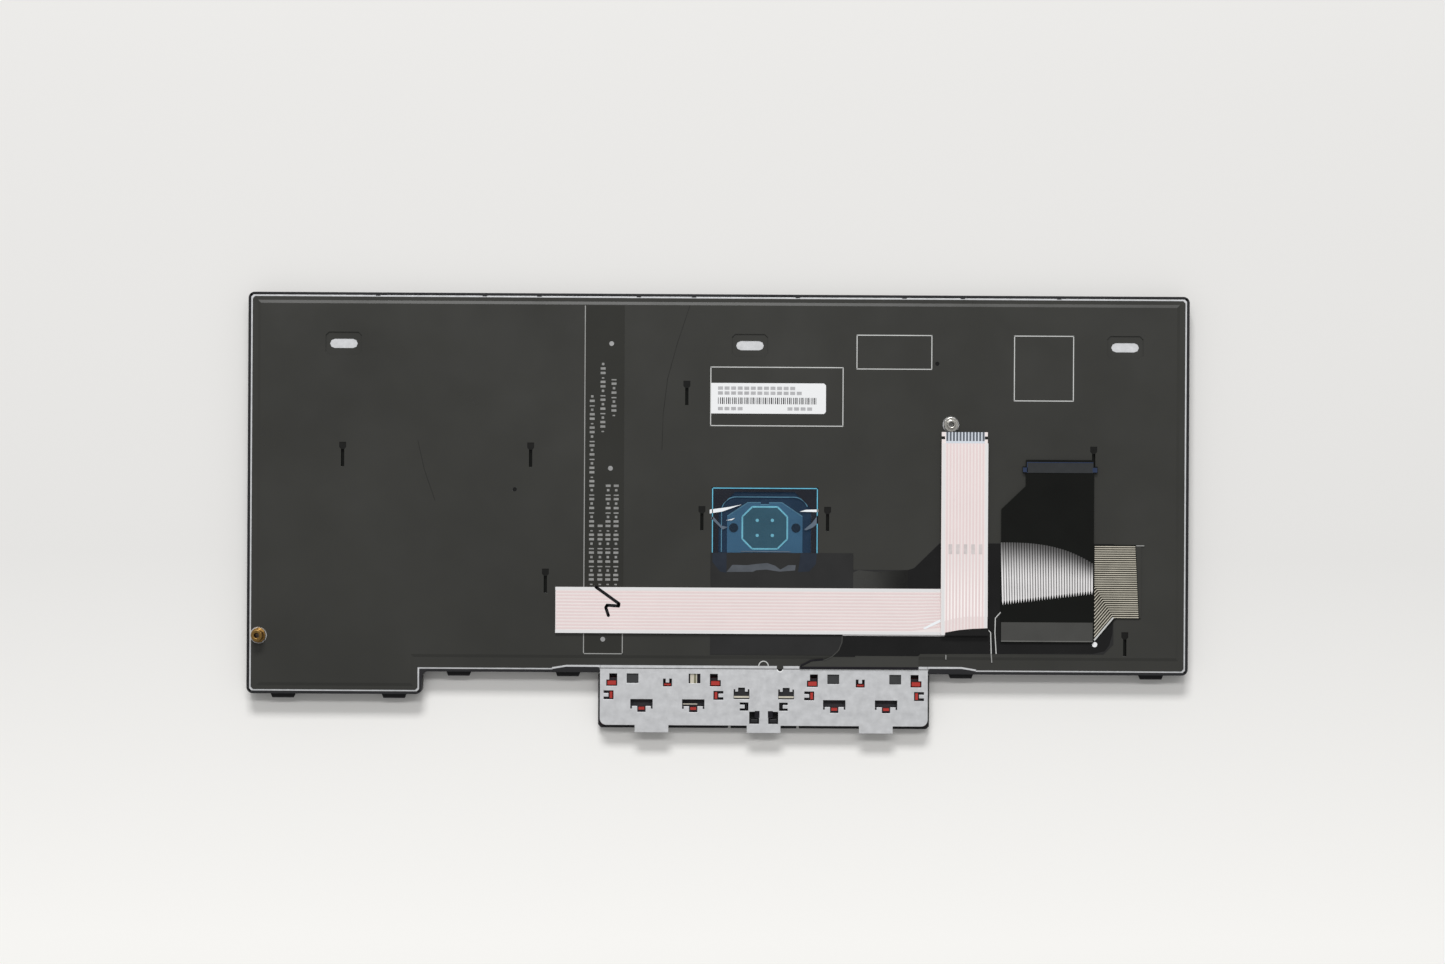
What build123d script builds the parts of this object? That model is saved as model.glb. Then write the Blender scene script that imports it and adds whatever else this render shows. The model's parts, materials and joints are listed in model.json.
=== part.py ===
from build123d import *
import math
import os

# Laptop keyboard module, in millimetres, lying face down with its steel back up.
# Height 0 is the keycap tops, +Y is the rear edge and +X is the typist's left.

# Key grid
unit = 19.05
grid_units = 15
letter_row_count = 5
stick_row_count = 3
number_key_count = 13
left_modifier_count = 4
right_modifier_count = 3
upper_mark_count = 2
home_mark_count = 2
lower_mark_count = 3
function_key_count = 17
function_group_count = 4
function_group_space = 2.0
function_pitch = 12.05
arrow_pitch_x = 17.4
arrow_pitch_y = 13.0
arrow_column_count = 3
arrow_row_count = 2
tab_units = 1.5
caps_lock_units = 1.75
left_shift_units = 2.25

# Keycaps
cap_gap = 3.3
cap_height = 2.3
cap_roof = 1.0
cap_wall = 1.2
cap_corner = 1.6
cap_taper = 0.4
key_travel = 1.8
press_room = 0.25
window_gap = 0.45

# Scissor links and domes
link_length = 10.4
link_thick = 0.7
link_arm = 1.0
outer_link_width = 10.4
link_side_gap = 0.35
stick_link_shift = 0.6
dome_base_radius = 2.5
dome_top_radius = 1.6
dome_side_count = 5
post_width = 4.2

# Frame
side_margin = 0.625
rear_margin = 3.45
front_margin = 4.75
corner_radius = 1.9
sheet_chamfer = 0.7
cap_proud = 0.9
web_thick = 1.2
rim_wall = 0.7
rim_proud = 0.15
lip_width = 1.4
lip_reach = 0.3
rear_lip_x = (-104.0, -71.5, -54.8, -24.5, -7.7, 24.0, 56.5, 74.3, 103.7)
tab_width = 7.9
tab_tip_width = 6.5
tab_out = 1.4
tab_low = 1.9
tab_high = 3.1
arrow_tab_x = (-132.7, -98.75)
front_tab_x = (-79.0, -45.6, 74.5, 132.6)

# Sheets from the keys up
membrane_thick = 0.25
membrane_inset = 2.2
plate_thick = 0.4
plate_gap = 0.1
steel_line = 0.5
guide_thick = 0.3
film_thick = 0.12
film_rear_step = 3.4
film_side_step = 3.9
film_front_step = 5.3
film_slope = 1.3
film_seat_gap = 0.05

# Openings in the back, as places on the board
window_x = (-114.35, 9.46, 123.84)
window_y = 51.25
window_length = 8.45
window_width = 2.85
window_facet_count = 4
recess_length = 11.0
recess_width = 7.0
recess_chamfer = 1.0
keyhole_places = (
    (-114.5, 17.5), (-57.2, 17.6), (-52.5, -20.8), (-9.7, 36.7),
    (-4.9, -1.5), (33.4, -1.5), (114.4, 17.3), (124.2, -39.2),
)
keyhole_length = 7.4
keyhole_stem = 1.0
keyhole_head_width = 2.1
keyhole_head_length = 2.2
keyhole_head_taper = 0.6
pin_hole_places = ((-62.0, 7.0), (66.6, 46.0))
pin_hole_radius = 0.7
round_side_count = 8

# Pointing stick
stick_column = 6.75
stick_above_row = 1.5
stick_notch_radius = 4.7
stick_notch_wall = 0.6
stick_cap_radius = 4.0
stick_cap_low = 0.3
stick_cap_high = 2.9
stick_cap_chamfer = 0.7
stick_cap_side_count = 12
stick_dish_depth = 0.45
stick_post_width = 2.4
stick_post_low = 1.6
stick_socket_gap = 0.05
stick_hole_width = 6.4
sensor_half_width = 11.5
sensor_rear = 7.8
sensor_rear_half_width = 5.25
sensor_shoulder = 3.6
sensor_front = 12.9
sensor_thick = 0.25
sensor_notch_width = 2.5
sensor_notch_depth = 0.6
octagon_half_width = 7.1
octagon_half_depth = 6.7
octagon_chamfer = 3.5
octagon_rise = 0.08
rivet_offset = 9.5
rivet_radius = 1.4
rivet_rise = 0.1
sensor_window_half_width = 14.25
sensor_window_rear = 11.0
sensor_window_front = 13.4
sensor_window_chamfer = 5.0
blue_half_width = 16.3
blue_rear = 12.35
blue_front = 13.7
blue_thick = 0.06

# Button plate, below the board and centred on the pointing stick
button_plate_half_width = 50.0
button_plate_drop = 16.0
button_plate_corner = 2.0
plate_tab_width = 10.3
plate_tab_out = 2.2
plate_tab_inset = 15.8
plate_neck_overlap = 3.0

# Cut-outs in the button plate: offsets from a button's axis and rows up from the plate's front edge
cutout_axis_shift = -0.125
tee_axis_shift = 1.325
corner_hole_inset = 4.175
corner_hole_width = 3.3
corner_hole_depth = 3.8
corner_hole_row = 13.8
corner_stay_width = 0.9
corner_stay_depth = 1.9
square_hole_offset = 9.45
square_hole_width = 3.55
square_hole_depth = 2.9
square_hole_row = 14.25
tongue_hole_width = 2.7
tongue_hole_depth = 2.4
tongue_hole_row = 13.0
tongue_width = 1.1
tongue_length = 1.2
side_hole_inset = 3.225
side_hole_width = 3.0
side_hole_depth = 2.7
side_hole_row = 9.15
side_tongue_length = 1.5
tee_offset = 7.9
tee_width = 6.8
tee_depth = 2.1
tee_row = 6.85
tee_stub_width = 2.5
tee_stub_depth = 1.8
middle_tee_offset = 6.8
middle_tee_width = 4.8
middle_tee_depth = 2.3
middle_tee_row = 9.2
middle_stub_width = 2.1
middle_stub_depth = 1.2
middle_side_offset = 6.0
middle_side_width = 2.6
middle_side_depth = 2.5
middle_side_row = 5.8
middle_corner_offset = 2.9
middle_corner_width = 3.0
middle_corner_depth = 3.7
middle_corner_row = 2.4

# Buttons
middle_button_width = 20.2
button_space = 0.65
button_past_side = 0.7
button_past_front = 1.1
button_corner = 0.9
button_rear_gap = 0.55
button_low = 0.3
button_cap_high = 2.3
button_roof = 0.9
button_wall = 1.0
button_taper = 0.35
button_body_gap = 0.05
button_body_high = 2.6
button_stripe_length = 24.0
button_stripe_width = 1.0
button_stripe_row = 3.2
hook_gap = 0.35
hook_below_back = 0.15
flex_thick = 0.2
flex_strip_width = 0.9
flex_strip_row = 11.2
flex_pad_width = 18.4
flex_pad_depth = 3.1
switch_dome_radius = 1.1
switch_dome_rise = 0.15
leaf_width = 0.8
leaf_gap = 0.7
leaf_count = 3

# Screw points
thread_radius = 0.8
insert_edge = 3.6
insert_y = -37.85
insert_flange_radius = 2.3
insert_flange_high = 0.8
insert_radius = 1.75
insert_high = 3.5
standoff_x = 70.85
standoff_y = 27.5
standoff_base_radius = 2.25
standoff_base_high = 1.7
standoff_boss_radius = 1.35
standoff_boss_high = 2.5
screw_point_side_count = 12
screw_point_clearance = 0.35

# Light strip
led_strip_left = -40.9
led_strip_width = 12.1
led_strip_thick = 0.1
led_end_gap = 0.3

# Thin folded strips
fold_facet_count = 4

# Ribbon cable of the pointing stick
ribbon_width = 14.0
ribbon_thick = 0.2
ribbon_layer_count = 4
ribbon_layer_pitch = 0.35
ribbon_lift = 0.18
ribbon_run_left = -49.4
ribbon_run_front = -36.6
ribbon_joint_x = 69.0
ribbon_riser_left = 67.95
ribbon_riser_rear = 25.2
ribbon_ear_length = 1.3
ribbon_notch_length = 0.9
ribbon_notch_depth = 1.0

# Membrane tail
tail_thick = 0.15
tail_lift = 0.18
tail_layer_pitch = 0.35
tail_slot_edge = 14.9
tail_slot_rear = -8.9
tail_slot_front = -31.4
tail_slot_width = 0.6
tail_left = 86.3
tail_right = 114.5
tail_fold_y = -38.6
tail_shoulder_x = 121.4
tail_under_rear = -14.0
tail_neck_left = 93.7
tail_neck_low_y = 1.8
tail_neck_high_y = 8.9
tail_end_y = 16.9
stiffener_front = 12.9
stiffener_ear_rear = 14.9
stiffener_ear_reach = 1.0
stiffener_thick = 0.15

# Tapes and label
tape_thick = 0.08
cover_tape_left = -2.2
cover_tape_right = 41.3
cover_tape_rear = -11.9
cover_tape_front = -43.0
cover_tape_corner = 6.0
gloss_tape_left = 25.0
gloss_tape_right = 120.7
gloss_tape_step_x = 59.2
gloss_tape_step_y = -16.9
gloss_tape_top_x = 67.6
gloss_tape_rear = -8.6
gloss_tape_front = -42.3
gloss_tape_corner = 3.0
label_left = -2.3
label_right = 32.7
label_front = 30.5
label_rear = 39.8
label_corner = 0.6
label_thick = 0.1

# Worked out sizes
full_key_depth = unit - cap_gap - 2 * cap_taper
grid_width = grid_units * unit
half_width = grid_width / 2 + side_margin
main_depth = rear_margin + function_pitch + letter_row_count * unit + front_margin
total_depth = main_depth + button_plate_drop + plate_tab_out
rear = total_depth / 2
front = rear - main_depth
first_row_rear = rear - rear_margin - function_pitch
last_row_rear = first_row_rear - (letter_row_count - 1) * unit
arrow_front = last_row_rear - arrow_row_count * arrow_pitch_y - front_margin
arrow_inner = -grid_width / 2 + arrow_column_count * arrow_pitch_x + side_margin
stick_x = grid_width / 2 - stick_column * unit
stick_y = first_row_rear - stick_row_count * unit + stick_above_row
plate_front = front - button_plate_drop
membrane_low = cap_height + key_travel + press_room
switch_height = membrane_low - cap_roof
plate_low = membrane_low + membrane_thick
plate_high = plate_low + plate_thick
guide_high = plate_high + guide_thick
film_high = guide_high + film_thick
film_inset = rim_wall + plate_gap + steel_line
blue_high = film_high + blue_thick
ribbon_low = film_high + ribbon_lift
tail_low = film_high + tail_lift
insert_x = -half_width + insert_edge
tail_slot_x = half_width - tail_slot_edge
plate_tab_offset = button_plate_half_width - plate_tab_inset
side_button_outer = button_plate_half_width + button_past_side
side_button_inner = middle_button_width / 2 + button_space
side_button_width = side_button_outer - side_button_inner
side_button_middle = (side_button_outer + side_button_inner) / 2
side_button_axis = side_button_middle + cutout_axis_shift
tee_axis = side_button_middle - tee_axis_shift
corner_hole_offset = side_button_width / 2 - corner_hole_inset
side_hole_offset = side_button_width / 2 - side_hole_inset

stick_key_names = ("key_g", "key_h", "key_b")


# Shared shapes

def slab(sketch, low, high):
    """A flat sketch made solid between two heights."""
    return extrude(Pos(0, 0, low) * sketch, amount=high - low, dir=(0, 0, 1))


def area(left, right, low_y, high_y):
    """A rectangle given by its four sides."""
    middle = Pos((left + right) / 2, (low_y + high_y) / 2)
    return middle * Rectangle(right - left, high_y - low_y)


def round_points(radius, sides):
    """Corners of a round outline drawn with flat facets."""
    turn = 2 * math.pi / sides
    return [(radius * math.cos(turn * step), radius * math.sin(turn * step)) for step in range(sides)]


def faceted_round(radius, sides):
    return Polygon(*round_points(radius, sides), align=None)


def frustum(low_points, low, high_points, high):
    """A solid with flat sides between two outlines whose edges are parallel."""
    bottom = [(x, y, low) for x, y in low_points]
    top = [(x, y, high) for x, y in high_points]
    faces = [Face(Wire.make_polygon(bottom)), Face(Wire.make_polygon(top))]
    for index, corner in enumerate(bottom):
        before = index - 1
        faces.append(Face(Wire.make_polygon([bottom[before], corner, top[index], top[before]])))
    return Solid(Shell(faces))


def board_points(inset):
    """Corners of the board with its arrow block, drawn in from the frame's outer edge."""
    return [
        (inset - half_width, arrow_front + inset),
        (arrow_inner - inset, arrow_front + inset),
        (arrow_inner - inset, front + inset),
        (half_width - inset, front + inset),
        (half_width - inset, rear - inset),
        (inset - half_width, rear - inset),
    ]


def board_face(inset):
    """The board's outline as a sketch with sharp corners."""
    return Polygon(*board_points(inset), align=None)


def sheet_face(inset):
    """The board's outline with its outer corners cut off, for the plate and the film."""
    corners = board_face(inset).vertices().sort_by_distance((arrow_inner, front))
    return chamfer(corners[1:], sheet_chamfer)


def at_places(sketch, places):
    """Copies of a sketch at each place on the board."""
    return Sketch() + [Pos(x, y) * sketch for x, y in places]


def half_bend(start, end, outward, low, high, thick):
    """A half-round fold of a thin strip, along the line between two points."""
    along = Vector(*end) - Vector(*start)
    plane = Plane(origin=(*start, (low + high) / 2), x_dir=(*outward, 0), z_dir=along.normalized())
    angles = [math.pi * (step / fold_facet_count - 0.5) for step in range(fold_facet_count + 1)]
    outer = (high - low) / 2
    inner = outer - thick
    rim = [(outer * math.cos(angle), outer * math.sin(angle)) for angle in angles]
    rim += [(inner * math.cos(angle), inner * math.sin(angle)) for angle in reversed(angles)]
    return extrude(plane * Polygon(*rim, align=None), amount=along.length)


# Key layout, from the typist's left to right in each row

def letter_keys(letters):
    return [("key_" + letter, unit) for letter in letters]


def group_keys(name, count):
    return [(name, unit)] * count


def key_rows():
    """The rows of full-size keys. A key without a width takes what the others leave."""
    numbers = group_keys("number_row_keys", number_key_count) + [("key_backspace", None)]
    upper = [("key_tab", tab_units * unit)] + letter_keys("qwertyuiop")
    upper += group_keys("punctuation_keys", upper_mark_count) + [("punctuation_keys", None)]
    home = [("key_caps_lock", caps_lock_units * unit)] + letter_keys("asdfghjkl")
    home += group_keys("punctuation_keys", home_mark_count) + [("key_enter", None)]
    lower = [("key_left_shift", left_shift_units * unit)] + letter_keys("zxcvbnm")
    lower += group_keys("punctuation_keys", lower_mark_count) + [("key_right_shift", None)]
    space = group_keys("modifier_keys", left_modifier_count) + [("key_space", None)]
    space += group_keys("modifier_keys", right_modifier_count)
    return numbers, upper, home, lower, space


def cell(name, left, row_rear, width, depth):
    """One key's share of the grid. The board is seen from behind, so left counts from +X."""
    return name, grid_width / 2 - left - width / 2, row_rear - depth / 2, width, depth


def row_cells(keys, row_rear, end):
    """The cells of one row of full-size keys."""
    spare = end - sum(width for name, width in keys if width)
    cells = []
    left = 0
    for name, width in keys:
        cells.append(cell(name, left, row_rear, width or spare, unit))
        left += width or spare
    return cells


def key_cells():
    """Every key's cell. Keys with the same name share one node."""
    cells = []
    spaces = (function_key_count - 1) // function_group_count
    pitch = (grid_width - spaces * function_group_space) / function_key_count
    for index in range(function_key_count):
        groups_before = (index + function_group_count - 1) // function_group_count
        left = index * pitch + groups_before * function_group_space
        cells.append(cell("function_row_keys", left, rear - rear_margin, pitch, function_pitch))

    arrow_left = grid_width - arrow_column_count * arrow_pitch_x
    for index, keys in enumerate(key_rows()):
        row_rear = first_row_rear - index * unit
        end = arrow_left if row_rear == last_row_rear else grid_width
        cells += row_cells(keys, row_rear, end)

    for row in range(arrow_row_count):
        for column in range(arrow_column_count):
            left = arrow_left + column * arrow_pitch_x
            row_rear = last_row_rear - row * arrow_pitch_y
            cells.append(cell("arrow_keys", left, row_rear, arrow_pitch_x, arrow_pitch_y))
    return cells


def moves(name):
    """True for a key with a node and a joint of its own."""
    return name.startswith("key_")


# Keys and their switches

def key_points(width, depth, corner):
    """Corners of a keycap's outline. A full-size key has its two front corners cut off."""
    half = width / 2
    right = [(half - corner, -depth / 2), (half, corner - depth / 2), (half, depth / 2)]
    if depth < full_key_depth:
        right = [(half, -depth / 2), (half, depth / 2)]
    return right + [(-x, y) for x, y in reversed(right)]


def keycap(key):
    """A hollow keycap with tapered sides. A key without a joint stands on a post of its own."""
    name, x, y, width, depth = key
    cap_width = width - cap_gap
    cap_depth = depth - cap_gap
    skirt = key_points(cap_width, cap_depth, cap_corner)
    face = key_points(cap_width - 2 * cap_taper, cap_depth - 2 * cap_taper, cap_corner - cap_taper)
    cap = Part() + frustum(face, 0, skirt, cap_height)
    post = Rectangle(post_width, post_width)
    if not moves(name):
        return Pos(x, y, 0) * (cap + slab(post, cap_height, membrane_low))

    pocket = Rectangle(cap_width - 2 * cap_wall, cap_depth - 2 * cap_wall)
    stick = Pos(stick_x - x, stick_y - y)
    if name in stick_key_names:
        pocket -= stick * faceted_round(stick_notch_radius + stick_notch_wall, stick_cap_side_count)
        cap -= slab(stick * faceted_round(stick_notch_radius, stick_cap_side_count), 0, cap_height)
    return Pos(x, y, 0) * (cap - slab(pocket, cap_roof, cap_height))


def scissor_places(key):
    """Where a key's scissors stand: in the middle, clear of the stick, or two under the space bar."""
    name, x, y, width, depth = key
    if name == "key_space":
        return [(x - width / 4, y), (x + width / 4, y)]
    if name in stick_key_names:
        y += math.copysign(stick_link_shift, y - stick_y)
    return [(x, y)]


def link(width, slope, place):
    """A U-shaped scissor link, tilted so that it reaches from the membrane to the cap's roof."""
    half_gap = switch_height / 2
    reach = math.hypot(link_length, link_thick) / 2
    tilt = math.degrees(math.asin(half_gap / reach) - math.atan2(link_thick, link_length))
    window = Pos(link_arm, 0) * Rectangle(link_length, width - 2 * link_arm)
    frame = Rectangle(link_length, width) - window
    bar = extrude(frame, amount=link_thick / 2, both=True)
    return Pos(*place, cap_roof + half_gap) * Rot(0, slope * tilt, 0) * bar


def scissor_links(cells):
    """The crossed pair of links under each moving key."""
    inner_width = outer_link_width - 2 * link_arm - 2 * link_side_gap
    links = []
    for key in cells:
        for place in scissor_places(key):
            links += [link(outer_link_width, 1, place), link(inner_width, -1, place)]
    return links


def rubber_domes(cells):
    """The dome inside each pair of links, which returns the key."""
    top = round_points(dome_top_radius, dome_side_count)
    base = round_points(dome_base_radius, dome_side_count)
    dome = frustum(top, cap_roof, base, membrane_low)
    places = [scissor_places(key) for key in cells]
    return [Pos(*place, 0) * dome for group in places for place in group]


# Frame and sheets

def keyboard_frame(cells):
    """The moulded grid, its rim, the lips that hold the plate and the front tabs."""
    outline = fillet(board_face(0).vertices(), corner_radius)
    grown = 2 * window_gap - cap_gap
    windows = [Pos(x, y) * Rectangle(width + grown, depth + grown) for name, x, y, width, depth in cells]
    grid = outline - windows
    grid -= Pos(stick_x, stick_y) * faceted_round(stick_notch_radius, stick_cap_side_count)
    rim_high = plate_high + rim_proud
    frame = slab(grid, cap_proud, cap_proud + web_thick)
    frame += slab(outline - board_face(rim_wall), cap_proud, rim_high)

    gate_half_width = button_plate_half_width + plate_gap
    gate_rear = front + 2 * rim_wall
    gate = area(stick_x - gate_half_width, stick_x + gate_half_width, front - rim_wall, gate_rear)
    frame -= slab(gate, membrane_low, rim_high)

    lip = Rectangle(lip_width, rim_wall + lip_reach, align=(Align.CENTER, Align.MAX))
    for x in rear_lip_x:
        frame += slab(Pos(x, rear) * lip, plate_high, rim_high)

    tab = Polygon(
        (-tab_width / 2, rim_wall / 2),
        (tab_width / 2, rim_wall / 2),
        (tab_tip_width / 2, -tab_out),
        (-tab_tip_width / 2, -tab_out),
        align=None,
    )
    for edge, places in ((arrow_front, arrow_tab_x), (front, front_tab_x)):
        for x in places:
            frame += slab(Pos(x, edge) * tab, tab_low, tab_high)
    return frame


def keyhole():
    """A slot with a wider head at its rear end."""
    end = keyhole_length / 2
    head_low = end - keyhole_head_length
    right = [
        (keyhole_stem / 2, -end),
        (keyhole_stem / 2, head_low),
        (keyhole_head_width / 2, head_low + keyhole_head_taper),
        (keyhole_head_width / 2, end),
    ]
    return Polygon(*right, *[(-x, y) for x, y in reversed(right)], align=None)


def plain_slots():
    """Slots under the keyholes, wide enough to stay out of sight."""
    return at_places(Rectangle(keyhole_head_width, keyhole_length), keyhole_places)


def stick_hole():
    """The square hole that the pointing stick comes through."""
    return Pos(stick_x, stick_y) * Rectangle(stick_hole_width, stick_hole_width)


def tail_slot(grow):
    """The slot that the membrane's tail comes out of."""
    half = tail_slot_width / 2 + grow
    return area(tail_slot_x - half, tail_slot_x + half, tail_slot_front - grow, tail_slot_rear + grow)


def side_button_cutouts():
    """Cut-outs over one side button, measured from the plate's axis and front edge."""
    holes = Sketch()
    for side in (1, -1):
        x = side_button_axis + side * corner_hole_offset
        stay_x = x + side * (corner_hole_width - corner_stay_width) / 2
        stay_y = corner_hole_row + (corner_hole_depth - corner_stay_depth) / 2
        corner = Pos(x, corner_hole_row) * Rectangle(corner_hole_width, corner_hole_depth)
        holes += corner - Pos(stay_x, stay_y) * Rectangle(corner_stay_width, corner_stay_depth)

        x = side_button_axis + side * square_hole_offset
        holes += Pos(x, square_hole_row) * Rectangle(square_hole_width, square_hole_depth)

        x = side_button_axis + side * side_hole_offset
        tongue_x = x + side * (side_hole_width - side_tongue_length) / 2
        slot = Pos(x, side_hole_row) * Rectangle(side_hole_width, side_hole_depth)
        holes += slot - Pos(tongue_x, side_hole_row) * Rectangle(side_tongue_length, tongue_width)

        x = tee_axis + side * tee_offset
        stub_y = tee_row - (tee_depth + tee_stub_depth) / 2
        holes += Pos(x, tee_row) * Rectangle(tee_width, tee_depth)
        holes += Pos(x, stub_y) * Rectangle(tee_stub_width, tee_stub_depth)
    tongue_y = tongue_hole_row + (tongue_hole_depth - tongue_length) / 2
    hole = Pos(tee_axis, tongue_hole_row) * Rectangle(tongue_hole_width, tongue_hole_depth)
    return holes + (hole - Pos(tee_axis, tongue_y) * Rectangle(tongue_width, tongue_length))


def middle_button_cutouts():
    """Cut-outs over one half of the middle button."""
    stub_y = middle_tee_row + (middle_tee_depth + middle_stub_depth) / 2
    holes = Pos(middle_tee_offset, middle_tee_row) * Rectangle(middle_tee_width, middle_tee_depth)
    holes += Pos(middle_tee_offset, stub_y) * Rectangle(middle_stub_width, middle_stub_depth)

    tongue_x = middle_side_offset + (middle_side_width - side_tongue_length) / 2
    slot = Pos(middle_side_offset, middle_side_row) * Rectangle(middle_side_width, middle_side_depth)
    holes += slot - Pos(tongue_x, middle_side_row) * Rectangle(side_tongue_length, tongue_width)

    stay_x = middle_corner_offset - (middle_corner_width - corner_stay_width) / 2
    stay_y = middle_corner_row + (middle_corner_depth - corner_stay_depth) / 2
    corner = Rectangle(middle_corner_width, middle_corner_depth)
    corner = Pos(middle_corner_offset, middle_corner_row) * corner
    return holes + (corner - Pos(stay_x, stay_y) * Rectangle(corner_stay_width, corner_stay_depth))


def on_button_plate(sketch):
    """A sketch measured from the plate's axis and front edge, moved to the board."""
    return Pos(stick_x, plate_front) * sketch


def both_sides(sketch):
    """A sketch and its mirror image across the plate's axis."""
    return sketch + mirror(sketch, about=Plane.YZ)


def base_plate():
    """The steel stamping: board, button plate and front tabs in one piece."""
    neck_rear = button_plate_drop + plate_neck_overlap
    tongue = area(-button_plate_half_width, button_plate_half_width, 0, neck_rear)
    tongue = fillet(tongue.vertices().group_by(Axis.Y)[0], button_plate_corner)
    half_tab = plate_tab_width / 2
    for place in (-plate_tab_offset, 0, plate_tab_offset):
        tongue += area(place - half_tab, place + half_tab, -plate_tab_out, button_plate_corner)
    tongue -= both_sides(side_button_cutouts() + middle_button_cutouts())
    plate = sheet_face(rim_wall + plate_gap) + on_button_plate(tongue)
    plate -= plain_slots()
    plate -= tail_slot(0)
    plate -= stick_hole()
    return slab(plate, plate_low, plate_high)


def raised_points(inset):
    """Corners of the part of the back film that the light guide lifts, drawn in by an inset."""
    side = half_width - film_side_step - inset
    inner = arrow_inner - film_rear_step - inset
    arrow_low = arrow_front + film_rear_step + inset
    main_low = front + film_front_step + inset
    high = rear - film_rear_step - inset
    return [
        (-side, arrow_low),
        (inner, arrow_low),
        (inner, main_low),
        (side, main_low),
        (side, high),
        (-side, high),
    ]


def sensor_window(grow):
    """The opening in the back film and light guide over the stick's sensor."""
    half = sensor_window_half_width + grow
    low = stick_y - sensor_window_front - grow
    face = area(stick_x - half, stick_x + half, low, stick_y + sensor_window_rear + grow)
    return chamfer(face.vertices().group_by(Axis.Y)[-1], sensor_window_chamfer)


def window_places(sketch):
    """A sketch at each of the three bright windows."""
    return at_places(sketch, [(x, window_y) for x in window_x])


def bright_window():
    """The oblong opening that shows the bare plate."""
    radius = window_width / 2
    middle = window_length / 2 - radius
    turn = math.pi / window_facet_count
    angles = [turn * step - math.pi / 2 for step in range(window_facet_count + 1)]
    right = [(middle + radius * math.cos(angle), radius * math.sin(angle)) for angle in angles]
    return Polygon(*right, *[(-x, -y) for x, y in right], align=None)


def screw_point_squares(grow):
    """Plain openings round the two screw points, for the sheet under the film."""
    insert_size = 2 * (insert_flange_radius + screw_point_clearance + grow)
    standoff_size = 2 * (standoff_base_radius + screw_point_clearance + grow)
    squares = Pos(insert_x, insert_y) * Rectangle(insert_size, insert_size)
    return squares + Pos(standoff_x, standoff_y) * Rectangle(standoff_size, standoff_size)


def screw_point_holes():
    """Round openings in the film for the two screw points."""
    insert_radius_out = insert_flange_radius + screw_point_clearance
    standoff_radius_out = standoff_base_radius + screw_point_clearance
    holes = Pos(insert_x, insert_y) * faceted_round(insert_radius_out, screw_point_side_count)
    return holes + Pos(standoff_x, standoff_y) * faceted_round(standoff_radius_out, screw_point_side_count)


def guide_area(inset):
    """The room for the light guide under the raised film, drawn in by an inset."""
    face = Polygon(*raised_points(inset), align=None)
    face -= window_places(Rectangle(recess_length + 2 * inset, recess_width + 2 * inset))
    face -= sensor_window(inset)
    face -= screw_point_squares(inset)
    return face - tail_slot(inset)


def light_guide():
    """The clear sheet that spreads the light under the keys."""
    sheet = guide_area(film_thick + film_seat_gap) - plain_slots()
    return slab(sheet, plate_high, guide_high)


def back_film():
    """The dark film: flat on the plate at its border, sloping up over the light guide."""
    recess = chamfer(Rectangle(recess_length, recess_width).vertices(), recess_chamfer)
    film = slab(sheet_face(film_inset), plate_high, plate_high + film_thick)
    film += frustum(raised_points(-film_slope), plate_high, raised_points(0), film_high)
    film -= slab(guide_area(film_thick), plate_high, guide_high)
    film -= slab(window_places(recess), plate_high + film_thick, film_high)
    through = window_places(bright_window())
    through += at_places(keyhole(), keyhole_places)
    through += at_places(faceted_round(pin_hole_radius, round_side_count), pin_hole_places)
    through += sensor_window(0)
    through += screw_point_holes()
    through += tail_slot(0)
    return film - slab(through, plate_high, film_high)


def led_strip():
    """The flexible strip that carries the lights, from the rear to the front of the raised film."""
    low = front + film_front_step + led_end_gap
    high = rear - film_rear_step - led_end_gap
    strip = area(led_strip_left, led_strip_left + led_strip_width, low, high)
    return slab(strip, film_high, film_high + led_strip_thick)


def tail_layers():
    """The membrane's tail: up through its slot, left, folded over at the front and back to the rear."""
    top_low = tail_low + tail_layer_pitch
    rise = area(tail_slot_x - tail_thick, tail_slot_x, tail_slot_front, tail_slot_rear)
    under = Polygon(
        (tail_slot_x, tail_slot_rear),
        (tail_slot_x, tail_slot_front),
        (tail_shoulder_x, tail_slot_front),
        (tail_right, tail_fold_y),
        (tail_left, tail_fold_y),
        (tail_left, tail_under_rear),
        (tail_neck_left, tail_slot_rear),
        align=None,
    )
    over = Polygon(
        (tail_left, tail_fold_y),
        (tail_right, tail_fold_y),
        (tail_right, tail_end_y),
        (tail_neck_left, tail_end_y),
        (tail_neck_left, tail_neck_high_y),
        (tail_left, tail_neck_low_y),
        align=None,
    )
    stiffener = area(tail_neck_left, tail_right, stiffener_front, tail_end_y)
    stiffener += area(
        tail_neck_left - stiffener_ear_reach,
        tail_right + stiffener_ear_reach,
        stiffener_front,
        stiffener_ear_rear,
    )
    top_high = top_low + tail_thick
    tail = slab(rise, plate_low, tail_low + tail_thick)
    tail += slab(under, tail_low, tail_low + tail_thick)
    tail += slab(over, top_low, top_high)
    tail += slab(stiffener, top_high, top_high + stiffener_thick)
    return tail + half_bend(
        (tail_left, tail_fold_y), (tail_right, tail_fold_y), (0, -1), tail_low, top_high, tail_thick
    )


def switch_membrane():
    """The switch sheet under the keys, in one piece with its tail."""
    sheet = board_face(membrane_inset) - stick_hole()
    return slab(sheet, membrane_low, plate_low) + tail_layers()


# Pointing stick

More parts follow.
